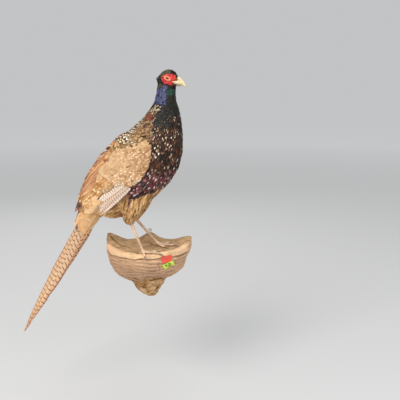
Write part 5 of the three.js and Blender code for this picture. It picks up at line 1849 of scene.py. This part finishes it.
# Painted shadow: a dark line just under the front lip, carried with the cracks.
shadow_under_lip = bell(z - low_edge + 1.5, 1.3) * ~on_top * front * at_front
beside_lip = bell(shares - inner + 0.02, 0.014) * on_top * ramp(lumps, -0.8, 0.2) * at_front
crack = np.maximum(crack, np.maximum(0.9 * shadow_under_lip, 0.8 * beside_lip))
push = side * shelf_part * (1.5 * (zone**0.7 - 0.6) + 0.5 * (fine - 0.5) + 0.5 * field(1, 22, 74))
push += lip * front * ~on_top * (0.5 + 0.7 * lumps) - 1.3 * crack * ~on_top
push += side * (1 - shelf_part) * (1.4 * field(0.5, 12, 75) + 0.8 * field(1, 5, 76))
console_rows = flat + unit((flat - [SHELF["middle"], 0, z.mean()]) * [1, 1, 0.001]) * push[:, None]
console_rows[:, 2] += on_top * (lip * (0.5 + 0.5 * lumps) - 1.1 * beside_lip)
console_rows[:, 1] = np.where(flat[:, 1] > -0.01, 0, np.minimum(console_rows[:, 1], -0.01))
crack = np.maximum(crack, on_top * np.minimum(crack_depth(flat[:, 0], flat[:, 1]) / 2.4, 1))
console_marks = np.stack([lip, crack, on_top * (1 - lip), np.ones(len(lip))], axis=1)
print("deepest push:", push.min().round(1), "mm")

# %% The console as one solid
index = np.arange(len(console_rows)).reshape(-1, SECTORS + 1)
console_mesh = bmesh.new()
marks_layer = console_mesh.verts.layers.float_color.new("Marks")
corners = [console_mesh.verts.new(point) for point in console_to_part(console_rows)]
for corner, mark in zip(corners, console_marks.tolist()):
    corner[marks_layer] = mark
for face in (*grid_faces(index), index[0][::-1], index[-1], [*index[:, 0], *index[::-1, -1]]):
    console_mesh.faces.new([corners[k] for k in face])
bmesh.ops.recalc_face_normals(console_mesh, faces=console_mesh.faces)
print("console:", len(console_mesh.faces), "faces,", round(console_mesh.calc_volume() * 1e3, 3), "litres")

# %% Console material
zone_group = new_group(
    "growth_zones", [("Place", "Vector"), ("Pale", "Color"), ("Dark", "Color"), ("Spacing", "Float", 0.009)],
    [("Color", "Color"), ("Height", "Float")],
)
w = Wiring(zone_group)
given, out = w.ends()
wander = w.noise(given["Place"], 14.0, 3.0) * 0.03 + w.parts(given["Place"])[2]
turn = wander / given["Spacing"]
patches = w.noise(given["Place"], 45.0, 4.0, 0.65)
waves = w.math("SINE", turn * (2 * math.pi)) * 0.25 + w.math("SINE", turn * (6.1 * math.pi)) * 0.1
tone = w.mix(waves + 0.35 + (patches * 0.6 - 0.3), given["Pale"], given["Dark"])
pores = w.noise(given["Place"], 900.0, 2.0, 0.5)
w.put(out["Color"], w.mix(w.step(pores, 0.55, 0.75) * 0.3, tone, given["Dark"]))
w.put(out["Height"], pores * 0.4 + patches * 0.8)
print("growth zones:", len(zone_group.nodes), "nodes")

# %% Finishes of shelf and core
# Dry fungus: growth zones, a pale lip, a weathered top, dark cracks and a painted shadow line under the
# lip, from the marks on the points.
pale, dark, lip, top = map(paint, ("DAB08C", "967254", "EAC298", "C6A074"))
w = new_material("dry_fungus")
on_lip, cracks_and_shadow, on_top = w.parts(w.attribute("Marks", "Vector"))
zones = w.group(zone_group, Place=w.place(), Pale=(*pale, 1), Dark=(*dark, 1), Spacing=ZONES * MM)
patches = w.noise(w.place(), 55.0, 4.0, 0.65)
tone = w.mix(on_top, zones["Color"], w.mix(w.step(patches, 0.3, 0.7), top, 0.55 * top))
tone = w.mix(on_lip, tone, w.mix(w.step(patches, 0.42, 0.72), lip, 0.72 * lip))
tone = w.mix(w.step(w.noise(w.place(), 700.0, 2.0), 0.5, 0.75) * 0.3, tone, dark)
tone = w.mix(w.step(w.noise(w.place(), 28.0, 4.0, 0.7), 0.58, 0.72) * 0.4, tone, paint("6E543C"))
tone = w.mix(cracks_and_shadow * 0.85, tone, paint("3E2A1C"))
fungus_finish = w.finish(tone, 0.85, zones["Height"], 0.6, 0.0012, Specular_IOR_Level=0.3)

# The knotty old core: ochre wood, pale bare patches and dark holes.
w = new_material("old_bark")
knots = w.noise(w.place(), 62.0, 4.0)
tone = w.mix(w.step(w.noise(w.place(), 32.0, 3.0), 0.42, 0.58), paint("A87A42"), paint("B8926C"))
tone = w.mix(w.step(knots, 0.52, 0.64), tone, paint("D8B488"))
tone = w.mix(w.step(knots, 0.47, 0.37), tone, paint("50351E"))
bark_finish = w.finish(tone, 0.85, knots, 0.8, 0.002, Specular_IOR_Level=0.3)

print("spacing of the growth zones:", ZONES, "mm")

# %% Shelf and core parted
KNOB_CUT = {"z": -44, "normal": (0, 0.33, 0.94)}
for piece_name, node_name, sign, finish, slot in (
    ("console_shelf", "console", 1, fungus_finish, "fungus"),
    ("console_plug", "console_knob", -1, bark_finish, "fungus_core"),
):
    half = console_mesh.copy()
    normal = Vector(sign * unit(np.array(KNOB_CUT["normal"])))
    level = Vector(console_to_part([0, 0, KNOB_CUT["z"]])) + normal * 0.15 * MM
    everything = half.verts[:] + half.edges[:] + half.faces[:]
    bmesh.ops.bisect_plane(half, geom=everything, plane_co=level, plane_no=normal, clear_inner=True)
    bmesh.ops.holes_fill(half, edges=[edge for edge in half.edges if edge.is_boundary], sides=0)
    bmesh.ops.recalc_face_normals(half, faces=half.faces)
    mesh = bpy.data.meshes.new(piece_name)
    half.to_mesh(mesh)
    half.free()
    for face in mesh.polygons:
        face.use_smooth = len(face.vertices) <= 4
    hand_over(new_object(piece_name, mesh), finish, [node_name])
console_tree = BVHTree.FromBMesh(console_mesh)
console_mesh.free()

# %% [markdown]
# ## Labels and hanger
# Two paper labels are stuck on the console's front, a red one and, askew over its lower edge, a yellow one
# with a few strokes of a pen. Paper bends but doesn't stretch, so each sheet follows the console's slow
# curve and not its grain. A screw eye in the hump holds the mount on its hook, and a pale nail stands
# beside it.

# %% Labels
LABELS = {
    "red": {"at": (42.5, 48), "size": (25, 18), "turn": 1, "lift": 0.5, "paint": "E8503C"},
    "yellow": {"at": (46, 30), "size": (27, 15), "turn": 22, "lift": 0.9, "paint": "C9E84A"},
}
LABEL_STEPS = 16
LABEL_THICK = 0.35


def on_console_front(x, z, lift):
    """Places on the console's front at x and z, lifted off it."""
    points = []
    for px, pz in zip(np.ravel(x), np.ravel(z)):
        hit = console_tree.ray_cast(console_to_part([px, -400, pz]), (0, 1, 0))[0]
        points.append(np.array(hit) / MM + [0, -lift, 0])
    return np.array(points).reshape(*np.shape(x), 3)


def label_grid(label):
    """A label's sheet as a grid of points, smoothed so that it bends like paper."""
    turn = math.radians(label["turn"])
    steps = np.linspace(-0.5, 0.5, LABEL_STEPS)
    u, v = np.meshgrid(steps, steps, indexing="ij")
    width, height = label["size"]
    x = label["at"][0] + u * width * math.cos(turn) - v * height * math.sin(turn)
    z = label["at"][1] + u * width * math.sin(turn) + v * height * math.cos(turn)
    grid = on_console_front(x, z, label["lift"])
    design = np.stack([part.ravel() for part in (u**0, u, v, u**2, v**2, u * v)], axis=1)
    depth = grid[..., 1].ravel()
    fit = design @ np.linalg.lstsq(design, depth, rcond=None)[0]
    grid[..., 1] = (fit - max(0, (fit - depth).max())).reshape(u.shape)
    return grid


def sheet_of(grid, thick):
    front = np.arange(grid.shape[0] * grid.shape[1]).reshape(grid.shape[:2])
    back = front + front.size
    flat = grid.reshape(-1, 3)
    faces = [grid_faces(front, turned=True), grid_faces(back)]
    for rim in (np.s_[:, 0], np.s_[-1, :], np.s_[::-1, -1], np.s_[0, ::-1]):
        one, other = front[rim], back[rim]
        faces.append(np.stack([one[:-1], other[:-1], other[1:], one[1:]], axis=-1))
    return np.concatenate([flat, flat + [0, thick, 0]]), np.concatenate(faces)


def paper_material(name, colour):
    w = new_material(name)
    fibres = w.noise(w.place(), 1400.0, 3.0)
    bleached = w.noise(w.place(), 120.0, 2.0, 0.5) * 0.35
    tone = w.mix(bleached, colour, np.minimum(colour * 1.4 + 0.05, 1))
    return w.finish(w.mix(fibres * 0.18, tone, colour * 0.55), 0.7, fibres, 0.2, 0.0001)


for name, label in LABELS.items():
    grid = label_grid(label)
    points, faces = sheet_of(grid, LABEL_THICK)
    make_piece(f"paper_{name}", console_to_part(points), faces, f"{name}_paper",
               paper_material(f"{name}_paper", paint(label["paint"])), [f"label_{name}"], smooth=False)

# %% Pen strokes
# Pen strokes on the yellow label: the plain number 12, as points in shares of the label's width and height.
PEN_STROKES = [
    [(-0.3, 0.14), (-0.18, 0.3), (-0.19, -0.26)],
    [(-0.04, 0.14), (0.08, 0.3), (0.18, 0.12), (0.04, -0.08), (-0.06, -0.26), (0.1, -0.24), (0.3, -0.26)],
]
PEN_WIDTH = 3.0
PEN_STEPS = 40
INK_BLOCK = np.array([[0, 4, 6, 2], [1, 3, 7, 5], [0, 1, 5, 4], [2, 6, 7, 3], [0, 2, 3, 1], [4, 5, 7, 6]])
stroke_points = []
for stroke in PEN_STROKES:
    cells = (smooth_path(stroke, PEN_STEPS) + 0.5) * (LABEL_STEPS - 1)
    low = np.minimum(cells.astype(int), LABEL_STEPS - 2)
    share = cells - low
    centre = sum(
        grid[low[:, 0] + i, low[:, 1] + k] * np.where(i, share[:, :1], 1 - share[:, :1])
        * np.where(k, share[:, 1:], 1 - share[:, 1:]) for i in (0, 1) for k in (0, 1)
    )
    across = unit(np.cross(unit(np.gradient(centre, axis=0)), [0, 1, 0]))
    for step in range(PEN_STEPS - 1):
        for place in (step, step + 1):
            for sign in (-1, 1):
                edge = centre[place] + across[place] * sign * PEN_WIDTH / 2
                stroke_points += [edge + [0, -0.14, 0], edge + [0, 0.02, 0]]
stroke_faces = np.concatenate([INK_BLOCK + first for first in range(0, len(stroke_points), 8)])
w = new_material("pen_ink")
ink = w.mix(w.noise(w.place(), 800.0, 2.0, 0.5), paint("10131A"), paint("2A3138"))
make_piece("pen_strokes", console_to_part(stroke_points), stroke_faces, "yellow_paper", w.finish(ink, 0.5),
           smooth=False)

# %% Hanger
SCREW_EYE = {"at": (-8.5, -4, 92.5), "ring": 3.3, "wire": 0.9, "shank": 14}
NAIL = {"at": (-14.5, -8, 93.5), "head": 2.8, "shaft": 1.0, "length": 18}
RING_STEPS = 40
WIRE_STEPS = 14


def turned_piece(profile, around=32):
    """Points and faces of a solid turned about an upright axis; profile gives radius and height."""
    turn = full_turn(around)
    radius, height = np.array(profile, float).T[..., None]
    points = np.stack([radius * np.cos(turn), radius * np.sin(turn), height + 0 * turn], axis=-1)
    faces = grid_faces(np.arange(radius.size * around).reshape(-1, around), close=(0, 1))
    return points.reshape(-1, 3), faces


def metal_material(name, colour, metallic, roughness, spots):
    w = new_material(name)
    tarnish = w.noise(w.place(), 500.0, 3.0)
    tone = w.mix(w.step(tarnish, 0.45, 0.7), paint(colour), paint(spots))
    return w.finish(tone, tarnish * 0.3 + roughness, Metallic=metallic)


wire_finish = metal_material("hanger_wire", "B9B6AE", 1.0, 0.25, "6E675C")
nail_finish = metal_material("nail_head", "E8E2D4", 0.0, 0.3, "B9AE9A")
ring, wire = SCREW_EYE["ring"], SCREW_EYE["wire"]
turn = full_turn(RING_STEPS)[:, None]
tube = full_turn(WIRE_STEPS)
reach = ring + wire * np.cos(tube)
ring_points = np.stack([reach * np.cos(turn), wire * np.sin(tube) + 0 * turn, reach * np.sin(turn)], axis=-1)
ring_faces = grid_faces(np.arange(RING_STEPS * WIRE_STEPS).reshape(RING_STEPS, WIRE_STEPS), close=(1, 1))
low = -ring - SCREW_EYE["shank"]
shank_points, shank_faces = turned_piece([(0.01, low), (wire * 0.9, low), (wire, -ring), (0.01, -ring + 0.3)],
                                         WIRE_STEPS)
points = np.concatenate([ring_points.reshape(-1, 3), shank_points]) + SCREW_EYE["at"]
faces = np.concatenate([ring_faces, shank_faces + RING_STEPS * WIRE_STEPS])
make_piece("screw_eye", console_to_part(points), faces, "hanger_metal", wire_finish, ["hanger_eye"])
head, shaft, length = NAIL["head"], NAIL["shaft"], NAIL["length"]
dome = [(head * math.cos(a), 0.2 + 1.25 * math.sin(a)) for a in np.linspace(0, math.pi / 2 - 0.02, 8)]
stem = [(0.01, -length), (shaft, -length + 1), (shaft, -1.2), (head * 0.96, -1.2)]
points, faces = turned_piece([*stem, *dome, (0.01, 1.46)])
make_piece("nail", console_to_part(points + NAIL["at"]), faces, "hanger_metal", nail_finish, ["hanger_nail"])

# %% Finish
print("CAD box", cad_box)
